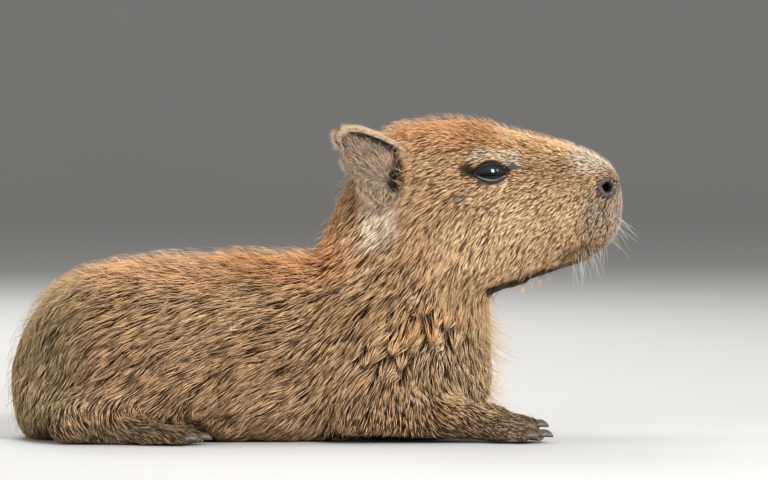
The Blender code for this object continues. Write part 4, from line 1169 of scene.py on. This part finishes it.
def skinMaterial(group):
    material, tree, shader = newMaterial("skin and short coat", 0.65, 0.20)
    place = attributeNode(tree, "place", "Vector")
    # Short flat fur: fine streaks that run down and back
    streaks = noiseNode(tree, place, 1.0, 2.0, (900.0, 1800.0, 420.0))
    made = addNode(tree, "Group", {"node_tree": group}, {
        "Place": place, "Along": rangeNode(tree, streaks, 0.30, 0.75, 0.0, 0.45), "Tint": 0.5})
    bare = attributeNode(tree, "bare")
    skinTone = twoTones(tree, noiseNode(tree, place, 700.0, 3.0), 0.35, 0.65,
                        (0.034, 0.026, 0.025), (0.090, 0.069, 0.063))
    # Deep in the nostrils, in the line between the lips and behind the lids the skin is painted near black:
    # painted shade
    skinTone = mixColour(tree, attributeNode(tree, "deep"), skinTone, (0.004, 0.003, 0.003))
    useColour(tree, shader, lidColours(tree, mixColour(tree, bare, made.outputs["Color"], skinTone)))
    pores = noiseNode(tree, place, 1500.0, 2.0)
    height = mathNode(tree, "ADD", streaks, mathNode(tree, "MULTIPLY", pores, bare))
    useBump(tree, shader, 0.55, 0.0006, height)
    tree.links.new(rangeNode(tree, bare, 0.0, 1.0, 0.70, 0.42), shader.inputs["Roughness"])
    return material


# Attributes of the skin: dark and grey round the lids, bare skin, and the depth of its openings, which the
# skin's material paints near black as painted shade
def paintSkin(skin, nostril):
    places = points(skin)
    outside, _ = outsideLids(places)
    black, grey = lidShades(places).T
    hole, (lip, share) = fromHole(places, nostril), fromLips(places)
    onLip = smooth(share, 0, 0.1)
    tail, _ = fromNostril(places, nostril, face["nostrilTail"])
    sole = (1 - smooth(places[:, 2], 0.0010, 0.0030)) * (np.abs(places[:, 1]) > 0.03)
    bare = np.max((1 - smooth(outside, 0.0016, 0.0030), 1 - smooth(hole, 0.0056, 0.0088),
                   (1 - smooth(lip, 0.0012, 0.0026)) * onLip, sole), axis=0)
    deep = np.max((1 - smooth(hole, 0.0026, 0.0048), 1 - smooth(tail, 0.0012, 0.0028),
                   (1 - smooth(lip, 0.0004, 0.0011)) * onLip, 1 - smooth(outside, -0.0004, 0.0006)), axis=0)
    named = (("place", places), ("black", black), ("grey", grey), ("bare", bare), ("deep", deep))
    for word, values in named:
        setAttribute(skin, word, values)


# Eyes

def buildEyes(material):
    for word, side in sides:
        deselectAll()
        bpy.ops.mesh.primitive_uv_sphere_add(segments=64, ring_count=40, radius=eyeRadius)
        eye = bpy.context.object
        eye.name = f"eyeball_{word}"
        places = points(eye)
        # The cornea stands a little proud of the ball
        ahead = unit(places)[:, 1] * side
        places *= (1 + 0.030 * smooth(ahead, 0.62, 0.95))[:, None]
        setPoints(eye, places + mirrored(eyeAt, side))
        shadeSmooth(eye)
        finishPiece(eye, "eye_gloss", material, f"eye_{word}")


def eyeMaterial():
    material, tree, shader = newMaterial("eye gloss", 0.04, 0.24)
    place = objectPlace(tree)
    away = vectorNode(tree, "SUBTRACT", place, tuple(Vector((eyeAt.x, 0, eyeAt.z)) + home))
    ring = vectorNode(tree, "LENGTH", vectorNode(tree, "MULTIPLY", away, (1.0, 0.0, 1.0)))
    grain = noiseNode(tree, place, 500.0, 4.0)
    iris = mixColour(tree, grain, (0.010, 0.007, 0.006), (0.005, 0.004, 0.004))
    pupil = rangeNode(tree, ring, 0.0046, 0.0058)
    colour = mixColour(tree, pupil, (0.0010, 0.0012, 0.0018), iris)
    # A painted bluish reflection of the sky lies over the upper half
    above = addNode(tree, "SeparateXYZ", {}, {0: away}).outputs["Z"]
    colour = twoTones(tree, above, 0.0004, 0.0044, colour, (0.016, 0.020, 0.026))
    rim = rangeNode(tree, ring, 0.0118, 0.0136)
    colour = mixColour(tree, rim, colour, (0.012, 0.009, 0.008))
    useColour(tree, shader, colour)
    return material


# Wet dark margin of the lids, with a painted highlight along the lower one

def buildLidMargins(material):
    pieces = []
    tube = 0.1  # the tube's radius in the plain ring
    thick = 0.00075
    for _, side in sides:
        deselectAll()
        bpy.ops.mesh.primitive_torus_add(
            major_segments=72, minor_segments=10, major_radius=1, minor_radius=tube)
        ring = bpy.context.object
        places = points(ring)
        turn = np.arctan2(places[:, 1], places[:, 0])
        inOut = (np.hypot(places[:, 0], places[:, 1]) - 1) / tube
        level = places[:, 2] / tube
        along = np.cos(turn)
        tall = lidTall(along, np.sin(turn) > 0)
        flat = np.column_stack((face["halfLength"] * along, tall * np.sin(turn)))
        flat[:, 1] += face["tilt"] * flat[:, 0]
        flat += np.array((face["openingAhead"], face["openingAbove"]))
        out = np.sqrt(np.maximum((eyeRadius + 0.0003) ** 2 - (flat ** 2).sum(1), 0.006 ** 2))
        middle = np.column_stack((flat[:, 0], out * side, flat[:, 1]))
        proud = unit(middle)
        outward = unit(np.column_stack((flat[:, 0], np.zeros(len(flat)), flat[:, 1])))
        push = (outward * inOut[:, None] + proud * level[:, None]) * thick
        setPoints(ring, middle + push + mirrored(eyeAt, side))
        pieces.append(ring)
        # The pale line along the lower lid is a painted highlight on the wet margin
        setAttribute(ring, "wet", smooth(-np.sin(turn), 0.05, 0.40) * smooth(-inOut, 0.60, 0.95))
    margins = join(pieces, "lid_margins")
    outwardNormals(margins)
    shadeSmooth(margins)
    finishPiece(margins, "bare_skin", material)


def lidMarginGlintMaterial():
    material, tree, shader = newMaterial("lid margin and painted glint", 0.40, 0.3)
    place = objectPlace(tree)
    tone = twoTones(tree, noiseNode(tree, place, 900.0), 0.35, 0.65,
                    (0.009, 0.007, 0.006), (0.022, 0.018, 0.017))
    # Along the lower lid the margin is painted pale bluish: a painted highlight
    tone = mixColour(tree, attributeNode(tree, "wet"), tone, (0.50, 0.55, 0.60))
    useColour(tree, shader, tone)
    return material


# Short dark lashes on the upper lid
def buildLashes(material):
    rows = []
    for _, side in sides:
        for share in np.linspace(-0.85, 0.9, 46):
            ahead = face["halfLength"] * share
            height = face["rise"] * math.sqrt(1 - share ** 2) * (1 - 0.25 * share ** 2) + 0.0007
            flat = (face["openingAhead"] + ahead, face["openingAbove"] + height + face["tilt"] * ahead)
            out = math.sqrt(eyeRadius ** 2 - flat[0] ** 2 - flat[1] ** 2) + 0.0012
            root = (eyeAt.x + flat[0], side * (eyeAt.y + out), eyeAt.z + flat[1])
            way = (0.30 * share - 0.15 + draw.normal(0, 0.12), side * 0.85, -0.25 + draw.normal(0, 0.12))
            rows.append((root, (0, side * 0.5, 0.8), way))
    count = len(rows)
    hairs = [(*row, length) for row, length in zip(rows, draw.uniform(0.0026, 0.0046, count))]
    obj = freeHairs("lashes", hairs, np.full(count, 0.00020), (-0.1, 0, 0.15), 3, np.zeros(count))
    finishPiece(obj, "coat", material)


# Ears

ear = {
    "at": (0.0435, 0.0505, 0.1925), "facing": (0.30, 0.90, 0.30), "radius": 0.0265, "wall": 0.0017,
    "segments": 96, "hairs": 7600, "bowl": 0.0050, "hollow": 0.0120, "roll": 0.0020, "firstOnRim": 11,
    # Shares of the radius behind and above, from the tip over the upper edge and down the front
    "rim": ((0.95, 0.67), (0.67, 0.89), (0.34, 0.92), (0.00, 0.85), (-0.42, 0.72), (-0.78, 0.55), (-1.00, 0.28),
            (-1.01, -0.08), (-0.90, -0.46), (-0.76, -0.84), (-0.50, -1.06), (-0.17, -0.96), (0.14, -0.74),
            (0.40, -0.50), (0.61, -0.22), (0.75, 0.06), (0.86, 0.38)),
    # Rings of the inside from the middle out. The last ones turn under the rolled rim and over it:
    # reach share, how far the roll draws it in, how far the roll lifts it, share of the bowl's depth
    "inside": ((0.12, 0, 0, 1), (0.26, 0, 0, 1), (0.40, 0, 0, 1), (0.53, 0, 0, 1), (0.64, 0, 0, 0.97),
               (0.73, 0, 0, 0.90), (0.81, 0, -0.2, 0.80), (0.88, 0, -0.5, 0.66), (0.935, 0, -0.75, 0.48),
               (0.970, 0, -0.45, 0.28), (0.966, -0.006, 0.10, 0.14), (0.962, -0.014, 0.55, 0.05),
               (0.970, -0.010, 0.95, 0.0), (0.985, -0.002, 1.05, 0.0)),
    "outside": ((1.00, 0, 0.80, 0.0), (1.015, 0, 0.35, 0.03), (1.01, 0, 0, 0.20), (0.985, 0, 0, 0.45),
                (0.94, 0, 0, 0.66), (0.86, 0, 0, 0.82), (0.74, 0, 0, 0.93), (0.60, 0, 0, 1), (0.44, 0, 0, 1),
                (0.28, 0, 0, 1), (0.13, 0, 0, 1)),
}


def closedThrough(rows, count):
    rows = np.array(rows, float)
    number = len(rows)
    found = []
    for k in range(count):
        at = k * number / count
        i, t = int(at), at - int(at)
        a, b, c, d = (rows[(i + j) % number] for j in (-1, 0, 1, 2))
        found.append(0.5 * (2 * b + (c - a) * t + (2 * a - 5 * b + 4 * c - d) * t * t
                            + (3 * b - a - 3 * c + d) * t ** 3))
    return np.array(found)


def earAxes(side):
    facing = Vector(mirrored(ear["facing"], side)).normalized()
    behind = Vector((-1, 0, 0))
    behind = (behind - facing * behind.dot(facing)).normalized()
    above = facing.cross(behind)
    return np.array(facing), np.array(behind), np.array(above if above.z > 0 else -above)


# Places seen square on to the ear: behind, above and out, in shares of its radius
def inEarAxes(places):
    facing, behind, above = earAxes(1)
    away = (leftHand(places) - np.array(ear["at"])) / ear["radius"]
    return np.column_stack((away @ behind, away @ above, away @ facing))


# Turn about the ear's middle, and how far out a place is as a share of the rim's reach that way
def earTurn(seen):
    rim = closedThrough(ear["rim"], ear["segments"])
    turn = np.arctan2(seen[:, 1], seen[:, 0])
    reach = np.interp(turn, np.arctan2(rim[:, 1], rim[:, 0]), np.hypot(*rim.T), period=2 * math.pi)
    return turn, np.hypot(seen[:, 0], seen[:, 1]) / reach


def earHollow(planar):
    return np.exp(-((planar[:, 0] + 0.78) / 0.27) ** 2 - ((planar[:, 1] + 0.24) / 0.46) ** 2)


# The rim is rolled over along the upper edge only, from the tip round to the front
def rolledAt(turn):
    turn = np.degrees(turn) % 360
    return smooth(turn, 22, 50) * (1 - smooth(turn, 150, 186))


# Hairs keep out of the cup. Those of the cheek may overlap its front
def insideEar(places):
    seen = inEarAxes(places)
    _, share = earTurn(seen)
    front = smooth(-seen[:, 0], 0.35, 0.80) * (1 - smooth(seen[:, 1], 0.10, 0.50))
    limit = 0.96 + 0.05 * front
    close = seen[:, 2] > -(0.62 + 0.45 * earHollow(seen))
    return (1 - smooth(share, limit - 0.06, limit + 0.03)) * close


# The skin is pressed in under the cup
def makeRoomForEars(obj):
    places = points(obj)
    seen = inEarAxes(places)
    _, share = earTurn(seen)
    deepest = -(0.54 + 0.46 * earHollow(seen))
    weight = (1 - smooth(share, 0.90, 1.06)) * (seen[:, 2] > -1.2)
    push = np.minimum(deepest - seen[:, 2], 0) * weight * ear["radius"]
    setPoints(obj, places + sidedWays(earAxes(1)[0], places) * push[:, None])


def buildEars():
    made = []
    rows = ((0, 0, 0, 1), *ear["inside"], *ear["outside"], (0, 0, 0, 1))
    rings, firstBack = len(rows) - 1, len(ear["inside"]) + 1
    rim = closedThrough(ear["rim"], ear["segments"])
    for word, side in sides:
        deselectAll()
        bpy.ops.mesh.primitive_uv_sphere_add(segments=ear["segments"], ring_count=rings, radius=1)
        cup = bpy.context.object
        cup.name = f"ear_cup_{word}"
        ball = points(cup)
        at = np.rint(np.arccos(np.clip(ball[:, 2], -1, 1)) / math.pi * rings).astype(int)
        spoke = np.rint(np.arctan2(ball[:, 1], ball[:, 0]) / (2 * math.pi) * ear["segments"]).astype(int)
        share, drawIn, lift, deep = np.array(rows, float)[at].T
        outline = rim[spoke % ear["segments"]]
        turn = np.arctan2(outline[:, 1], outline[:, 0])
        rolled = rolledAt(turn)
        planar = outline * (share + drawIn * (0.4 + 0.9 * rolled))[:, None]
        hollow = earHollow(planar)
        # Behind the hollow the cup swells in two low ridges that run up to the tip
        ridge = np.exp(-((planar[:, 1] - 0.55 * planar[:, 0] + 0.10) / 0.16) ** 2)
        ridge = ridge * smooth(planar[:, 0], -0.3, 0.3)
        depth = ear["bowl"] * deep + (ear["hollow"] * hollow - 0.0016 * ridge) * smooth(deep, 0.1, 0.8)
        depth += 0.0022 * smooth(planar[:, 1], 0.25, 0.65) * smooth(deep, 0.3, 0.9)
        depth -= lift * ear["roll"] * rolled
        depth += np.where(at >= firstBack + 1, ear["wall"], 0)
        # In front and below, the edge is tucked into the coat
        tuck = smooth(-planar[:, 0], 0.45, 0.90) * (1 - smooth(planar[:, 1], 0.10, 0.45))
        depth += 0.0048 * np.maximum(tuck, 0.6 * smooth(-planar[:, 1], 0.50, 0.90)) * smooth(share, 0.5, 0.9)
        # A crease folds the hind lobe off below the tip
        crease, along = lineDistance(planar, (0.76, 0.60), (0.62, 0.08))
        fold = np.exp(-(crease / 0.07) ** 2) * (1 - smooth(along, 0.75, 1.0))
        lobe = smooth(planar[:, 0] + 0.25 * planar[:, 1], 0.84, 0.95) * smooth(planar[:, 1], 0.1, 0.3)
        depth += (0.0030 * fold - 0.0014 * lobe) * (at < firstBack + 3)
        facing, behind, above = earAxes(side)
        flat = (behind * planar[:, :1] + above * planar[:, 1:]) * ear["radius"]
        setPoints(cup, mirrored(ear["at"], side) + flat - facing * depth[:, None])
        outwardNormals(cup)
        within = at < firstBack
        ahead = smooth(-planar[:, 0], 0.2, 0.8)
        shadow = smooth(share, 0.76 - 0.16 * ahead, 0.86 - 0.10 * ahead) * smooth(np.degrees(turn), 45, 75)
        onRim = (at >= ear["firstOnRim"]) & (at < firstBack + 3)
        setAttribute(cup, "rim", smooth(share, 0.90, 0.94) * onRim * rolled)
        # The hollow and the crease below the tip are marked for painted shade in the ear's material
        setAttribute(cup, "hollow", np.maximum(hollow, fold) * within)
        setAttribute(cup, "shadow", shadow * (at < ear["firstOnRim"]) * rolled * within)
        modify(cup, "SUBSURF", levels=1, render_levels=1)
        shadeSmooth(cup)
        setAttribute(cup, "place", points(cup))
        made.append(cup)
    return made


# Hairs of the ear run from the hollow out to its tip, pale and close on the rolled rim
def growEarHair(cups, material):
    for (word, side), cup in zip(sides, cups):
        tree, corners = surfaceTree(cup)
        onRim, inShadow = (readAll(cup.data.attributes[name].data, "value", 1)[corners].mean(1)
                           for name in ("rim", "shadow"))

        def weigh(centres, _):
            seen = inEarAxes(centres)
            # Bare skin shows in the upper middle. The hollow's depth and the shadow hold few hairs
            upper = np.exp(-((seen[:, 0] + 0.15) / 0.40) ** 2 - ((seen[:, 1] - 0.42) / 0.26) ** 2)
            thin = (1 - 0.9 * earHollow(seen)) * (1 - 0.65 * upper) * (1 - 0.9 * inShadow)
            return (0.55 + 1.6 * onRim) * thin

        root, up = spreadRoots(cup, corners, weigh, ear["hairs"])
        seen = inEarAxes(root)
        facing, behind, above = earAxes(side)
        turn, share = earTurn(seen)
        rimShare = (smooth(share, 0.84, 0.94) * rolledAt(turn))[:, None]
        outFrom = unit(seen[:, :2] - np.array((-0.95, -0.65)))
        toTip = unit(np.array((1.25, 0.85)) - seen[:, :2])
        low = smooth(-seen[:, 1], 0.10, 0.60)[:, None]
        flat = (outFrom * (1 - low) + np.array((0.30, -1.0)) * low) * (1 - rimShare) + toTip * rimShare
        way = behind * flat[:, :1] + above * flat[:, 1:]
        count = len(root)
        inside = (up @ facing) > 0.2
        length = np.where(inside, 0.0072, 0.0050) * draw.uniform(0.6, 1.25, count)
        length = length * (1 - 0.35 * rimShare[:, 0])
        rise = np.where(inside, 0.0012, 0.0007) * draw.uniform(0.5, 1.4, count)
        lock = leadersOf(root, 0.28)
        levels = ((lock, np.full(count, 0.30), math.radians(8)),)
        path, ups = layHair(tree, root, up, way, length, rise, 2, levels)
        width = draw.uniform(0.00018, 0.00028, count)
        tint = hairTints(lock, np.zeros(count, bool), 0.52, 0.16, 0.34, 0.06)
        tint = np.clip(tint + 0.35 * rimShare[:, 0], 0, 1)
        obj = strandMesh(f"ear_hair_{word}", path, ups, width, width * 0.4, (0.9, 1.0),
                         patchPlaces(root, spine), root, tint)
        finishPiece(obj, "coat", material)
        finishPiece(earFringe(word, side, tree), "coat", material)


# Hairs that stand out from the ear: where (behind, above), spread, number, way, length, lift, tint
earTufts = (
    ((0.88, 0.56), (0.09, 0.24), 180, (1.00, 0.15), 0.0058, 0.10, 0.40),
    ((0.40, 0.91), (0.40, 0.02), 150, (0.90, 0.50), 0.0042, 0.15, 0.80),
    ((0.72, 0.00), (0.12, 0.20), 110, (0.75, -0.65), 0.0056, 0.05, 0.30),
    ((0.12, -0.70), (0.32, 0.24), 130, (0.30, -0.95), 0.0080, 0.10, 0.50),
    ((-0.99, -0.04), (0.03, 0.05), 5, (1.00, 0.16), 0.0110, 0.22, 0.85),
    ((-0.93, -0.44), (0.03, 0.05), 4, (0.92, 0.40), 0.0095, 0.22, 0.85),
    ((-0.82, -0.76), (0.05, 0.10), 20, (0.85, 0.30), 0.0060, 0.20, 0.50),
)


def earFringe(word, side, tree):
    facing, behind, above = earAxes(side)
    hairs, tint = [], []
    for middle, spread, count, way, length, lift, usual in earTufts:
        for _ in range(count):
            flat = np.array(middle) + draw.uniform(-1, 1, 2) * np.array(spread)
            place = mirrored(ear["at"], side) + (behind * flat[0] + above * flat[1]) * ear["radius"]
            heading = np.array(way) + draw.normal(0, 0.16, 2)
            heading = behind * heading[0] + above * heading[1] + facing * (lift + draw.normal(0, 0.08))
            spot = tree.find_nearest(place.tolist())[0]
            hairs.append((spot, facing, heading, length * draw.uniform(0.6, 1.2)))
            tint.append(draw.normal(usual, 0.16))
    count = len(hairs)
    bend = -facing * 0.10 + draw.normal(0, 0.10, (count, 3))
    widths = draw.uniform(0.00022, 0.00036, count)
    return freeHairs(f"ear_fringe_{word}", hairs, widths, bend, 3, np.clip(tint, 0, 1))


def earMaterial():
    material, tree, shader = newMaterial("ear skin", 0.55, 0.3)
    place = attributeNode(tree, "place", "Vector")
    fine = noiseNode(tree, place, 1.0, 3.0, (900.0, 900.0, 500.0))
    tone = twoTones(tree, fine, 0.30, 0.70, (0.095, 0.058, 0.038), (0.20, 0.132, 0.088))
    # Pink where the cartilage is thin, painted shade in the hollow, its crease and under the rolled rim, pale
    # on the rim
    left = vectorNode(tree, "ABSOLUTE", place)
    pink = maskNear(tree, left, (0.0560, 0.046, 0.1965), (0.0075, 0.014, 0.0090), 0.6)
    tone = mixColour(tree, mathNode(tree, "MULTIPLY", pink, 0.7), tone, (0.42, 0.20, 0.16))
    tone = mixColour(tree, attributeNode(tree, "rim"), tone, (0.42, 0.33, 0.23))
    deep = rangeNode(tree, attributeNode(tree, "hollow"), 0.14, 0.58)
    tone = mixColour(tree, deep, tone, (0.022, 0.014, 0.011))
    tone = mixColour(tree, attributeNode(tree, "shadow"), tone, (0.020, 0.013, 0.011))
    useColour(tree, shader, tone)
    useBump(tree, shader, 0.4, 0.0005, fine)
    return material


def earHairMaterial():
    material, tree, shader = newMaterial("ear hair", 0.55, 0.3, 0.1)
    level = mathNode(tree, "ADD", attributeNode(tree, "along"), attributeNode(tree, "tint"))
    tone = twoTones(tree, level, 0.45, 1.35, (0.060, 0.033, 0.018), (0.72, 0.54, 0.36))
    useColour(tree, shader, tone)
    return material


# Nails: one is modelled and copied to each toe

nails = {
    # Half length, half width and half height; share of the height below; how far the tip bends down;
    # how much it narrows; how far it stands ahead of the toe's end and below it
    "reach": (0.0068, 0.0038, 0.0034), "below": 0.45, "arch": 0.0012, "narrow": 0.25,
    "ahead": 0.0030, "sunk": 0.0002, "foreToes": 4,
}


def buildNails(material):
    deselectAll()
    bpy.ops.mesh.primitive_uv_sphere_add(segments=20, ring_count=14, radius=1)
    first = bpy.context.object
    shape = points(first) * np.array(nails["reach"])
    # Arched over the toe, drawn in below, blunt ahead
    shape[shape[:, 2] < 0, 2] *= nails["below"]
    ahead = np.maximum(shape[:, 0], 0) / nails["reach"][0]
    shape[:, 2] -= nails["arch"] * ahead ** 2
    shape[:, 1] *= 1 - nails["narrow"] * ahead
    shadeSmooth(first)
    for word, side in sides:
        for i, tip in enumerate(footBars()[1]):
            hind = i >= nails["foreToes"]
            kind, number = ("hind", i - nails["foreToes"] + 1) if hind else ("fore", i + 1)
            nail = first.copy()
            nail.data = first.data.copy()
            nail.name = f"toe_nail_{kind}_{word}_{number}"
            bpy.context.scene.collection.objects.link(nail)
            places = shape + np.array((tip.x + nails["ahead"], tip.y * side, tip.z - nails["sunk"]))
            places[:, 2] = np.maximum(places[:, 2], clear["nail"])
            setPoints(nail, places)
            setAttribute(nail, "place", shape)
            finishPiece(nail, "nail_horn", material, f"nail_{kind}_{word}_{number}")
    bpy.data.objects.remove(first)


def nailMaterial():
    material, tree, shader = newMaterial("nail horn", 0.4, 0.4)
    place = attributeNode(tree, "place", "Vector")
    rays = noiseNode(tree, place, 1.0, 2.0, (60.0, 1800.0, 900.0))
    tone = twoTones(tree, rays, 0.35, 0.65, (0.045, 0.035, 0.028), (0.12, 0.095, 0.075))
    useColour(tree, shader, tone)
    useBump(tree, shader, 0.3, 0.0003, rays)
    return material


# Whiskers: fans on the front lip and chin, single ones under the jaw, and the pale down of the
# muzzle's front. Seen from: the side or ahead; x or half width; heights; number a side; way;
# spread; shortest and longest; width
whiskers = (
    ("side", 0.2080, 0.2170, 0.1300, 0.1600, 18, (0.85, 0.30, -0.60), 0.15, 0.012, 0.024, 0.00020),
    ("side", 0.1820, 0.2130, 0.1215, 0.1380, 52, (0.30, 0.12, -1.00), 0.22, 0.010, 0.022, 0.00020),
    ("side", 0.1480, 0.1850, 0.1120, 0.1215, 22, (0.05, 0.10, -1.00), 0.24, 0.005, 0.013, 0.00020),
    ("ahead", 0.0020, 0.0160, 0.1280, 0.1720, 190, (0.62, 0.20, -0.75), 0.25, 0.0018, 0.0036, 0.00018),
    ("ahead", 0.0020, 0.0160, 0.1720, 0.1960, 50, (0.60, 0.20, 0.55), 0.30, 0.0014, 0.0026, 0.00018),
)


def buildWhiskers(skin, material):
    tree, _ = surfaceTree(skin)
    hairs, widths = [], []
    for seen, near, far, low, high, count, way, spread, short, long, width in whiskers:
        for _, side in sides:
            for _ in range(count):
                across, height = draw.uniform(near, far), draw.uniform(low, high)
                if seen == "side":
                    hit = tree.ray_cast(Vector((across, side * 0.08, height)), Vector((0, -side, 0)))
                else:
                    hit = tree.ray_cast(Vector((0.3, side * across, height)), Vector((-1, 0, 0)))
                if hit[0] is None:
                    continue
                heading = mirrored(way, side) + draw.normal(0, spread, 3)
                hairs.append((hit[0], hit[1], heading, draw.uniform(short, long)))
                widths.append(width)
    obj = freeHairs("whiskers", hairs, np.array(widths), (-0.10, 0, -0.12), 4, np.full(len(hairs), 0.9))
    finishPiece(obj, "coat", material)


def whiskerMaterial():
    material, tree, shader = newMaterial("whisker", 0.35, 0.5)
    tone = mixColour(tree, attributeNode(tree, "along"), (0.60, 0.52, 0.42), (0.92, 0.89, 0.84))
    useColour(tree, shader, tone)
    return material


# Floor, light and camera

studio = {
    "lens": 250.0, "distance": 3.733, "elevation": math.radians(2.0), "aim": (0.0518, 0.0, 0.1386),
    "world": 0.33, "floor": 20, "wall": 10, "bend": 5, "aimHeight": 0.12,
    # name, place, size, power, and whether it is mirrored in the eye
    "lights": (
        ("key", (1.12, -1.76, 1.10), 0.6, 66, True), ("front", (1.93, -0.86, 1.10), 0.4, 9, True),
        ("top", (-0.4, 0.3, 2.0), 1.4, 24, False), ("fill", (-1.3, -1.8, 0.8), 1.6, 22, False),
        ("back", (-0.5, 1.7, 1.5), 1.2, 30, False),
    ),
}


def buildStudio():
    deselectAll()
    bpy.ops.mesh.primitive_plane_add(size=studio["floor"], location=(0, 0, 0))
    floor = bpy.context.object
    floor.name = "studio_floor"
    bpy.ops.object.mode_set(mode="EDIT")
    bpy.ops.mesh.select_mode(type="EDGE")
    bpy.ops.mesh.select_all(action="DESELECT")
    bpy.ops.object.mode_set(mode="OBJECT")
    for edge in floor.data.edges:
        edge.select = all(floor.data.vertices[i].co.y > 0 for i in edge.vertices)
    bpy.ops.object.mode_set(mode="EDIT")
    bpy.ops.mesh.extrude_region_move(TRANSFORM_OT_translate={"value": (0, 0, studio["wall"])})
    bpy.ops.object.mode_set(mode="OBJECT")
    modify(floor, "BEVEL", width=studio["bend"], segments=24)
    shadeSmooth(floor)
    material, tree, shader = newMaterial("pale floor", 0.9, 0.1)
    place = objectPlace(tree)
    tone = mixColour(tree, noiseNode(tree, place, 2.0), (0.49, 0.485, 0.475), (0.52, 0.515, 0.505))
    useColour(tree, shader, tone)
    floor.data.materials.append(material)
    for name, place, size, power, mirroredInEye in studio["lights"]:
        deselectAll()
        bpy.ops.object.light_add(type="AREA", location=place)
        light = bpy.context.object
        light.name = "light_" + name
        light.data.size, light.data.energy = size, power
        light.visible_camera = False
        light.visible_glossy = mirroredInEye
        towards = Vector((0, 0, studio["aimHeight"])) - Vector(place)
        light.rotation_euler = towards.to_track_quat("-Z", "Y").to_euler()
    world = bpy.data.worlds.new("studio")
    world.use_nodes = True
    back = world.node_tree.nodes["Background"]
    back.inputs["Color"].default_value = (1.0, 0.99, 0.97, 1.0)
    back.inputs["Strength"].default_value = studio["world"]
    bpy.context.scene.world = world
    bpy.context.scene.view_settings.view_transform = "Standard"
    aim = Vector(studio["aim"]) + home
    back = Vector((0, -math.cos(studio["elevation"]), math.sin(studio["elevation"])))
    bpy.ops.object.camera_add(location=aim + back * studio["distance"])
    camera = bpy.context.object
    camera.rotation_euler = (-back).to_track_quat("-Z", "Y").to_euler()
    camera.data.lens = studio["lens"]
    camera.data.sensor_width = 36
    bpy.context.scene.camera = camera


buildStudio()
markingsGroup = coatMarkings()
hair = hairMaterial(markingsGroup)
skin, nostril = buildSkin()
paintSkin(skin, nostril)
growCoat(skin, nostril, hair)
buildFringe(skin, hair)
buildWhiskers(skin, whiskerMaterial())
buildLashes(hair)
limbs = ("fore_leg", "fore_foot", "hind_leg", "hind_foot")
fleshNodes = ["torso", "neck", "head", "lower_jaw"]
fleshNodes += [f"{limb}_{word}" for limb in limbs for word in ("left", "right")]
finishPiece(skin, "coat", skinMaterial(markingsGroup), *fleshNodes)
buildEyes(eyeMaterial())
buildLidMargins(lidMarginGlintMaterial())
cups = buildEars()
growEarHair(cups, earHairMaterial())
earSkin = earMaterial()
for (word, _), cup in zip(sides, cups):
    finishPiece(cup, "bare_skin", earSkin, f"ear_{word}")
buildNails(nailMaterial())
print("pieces finished")
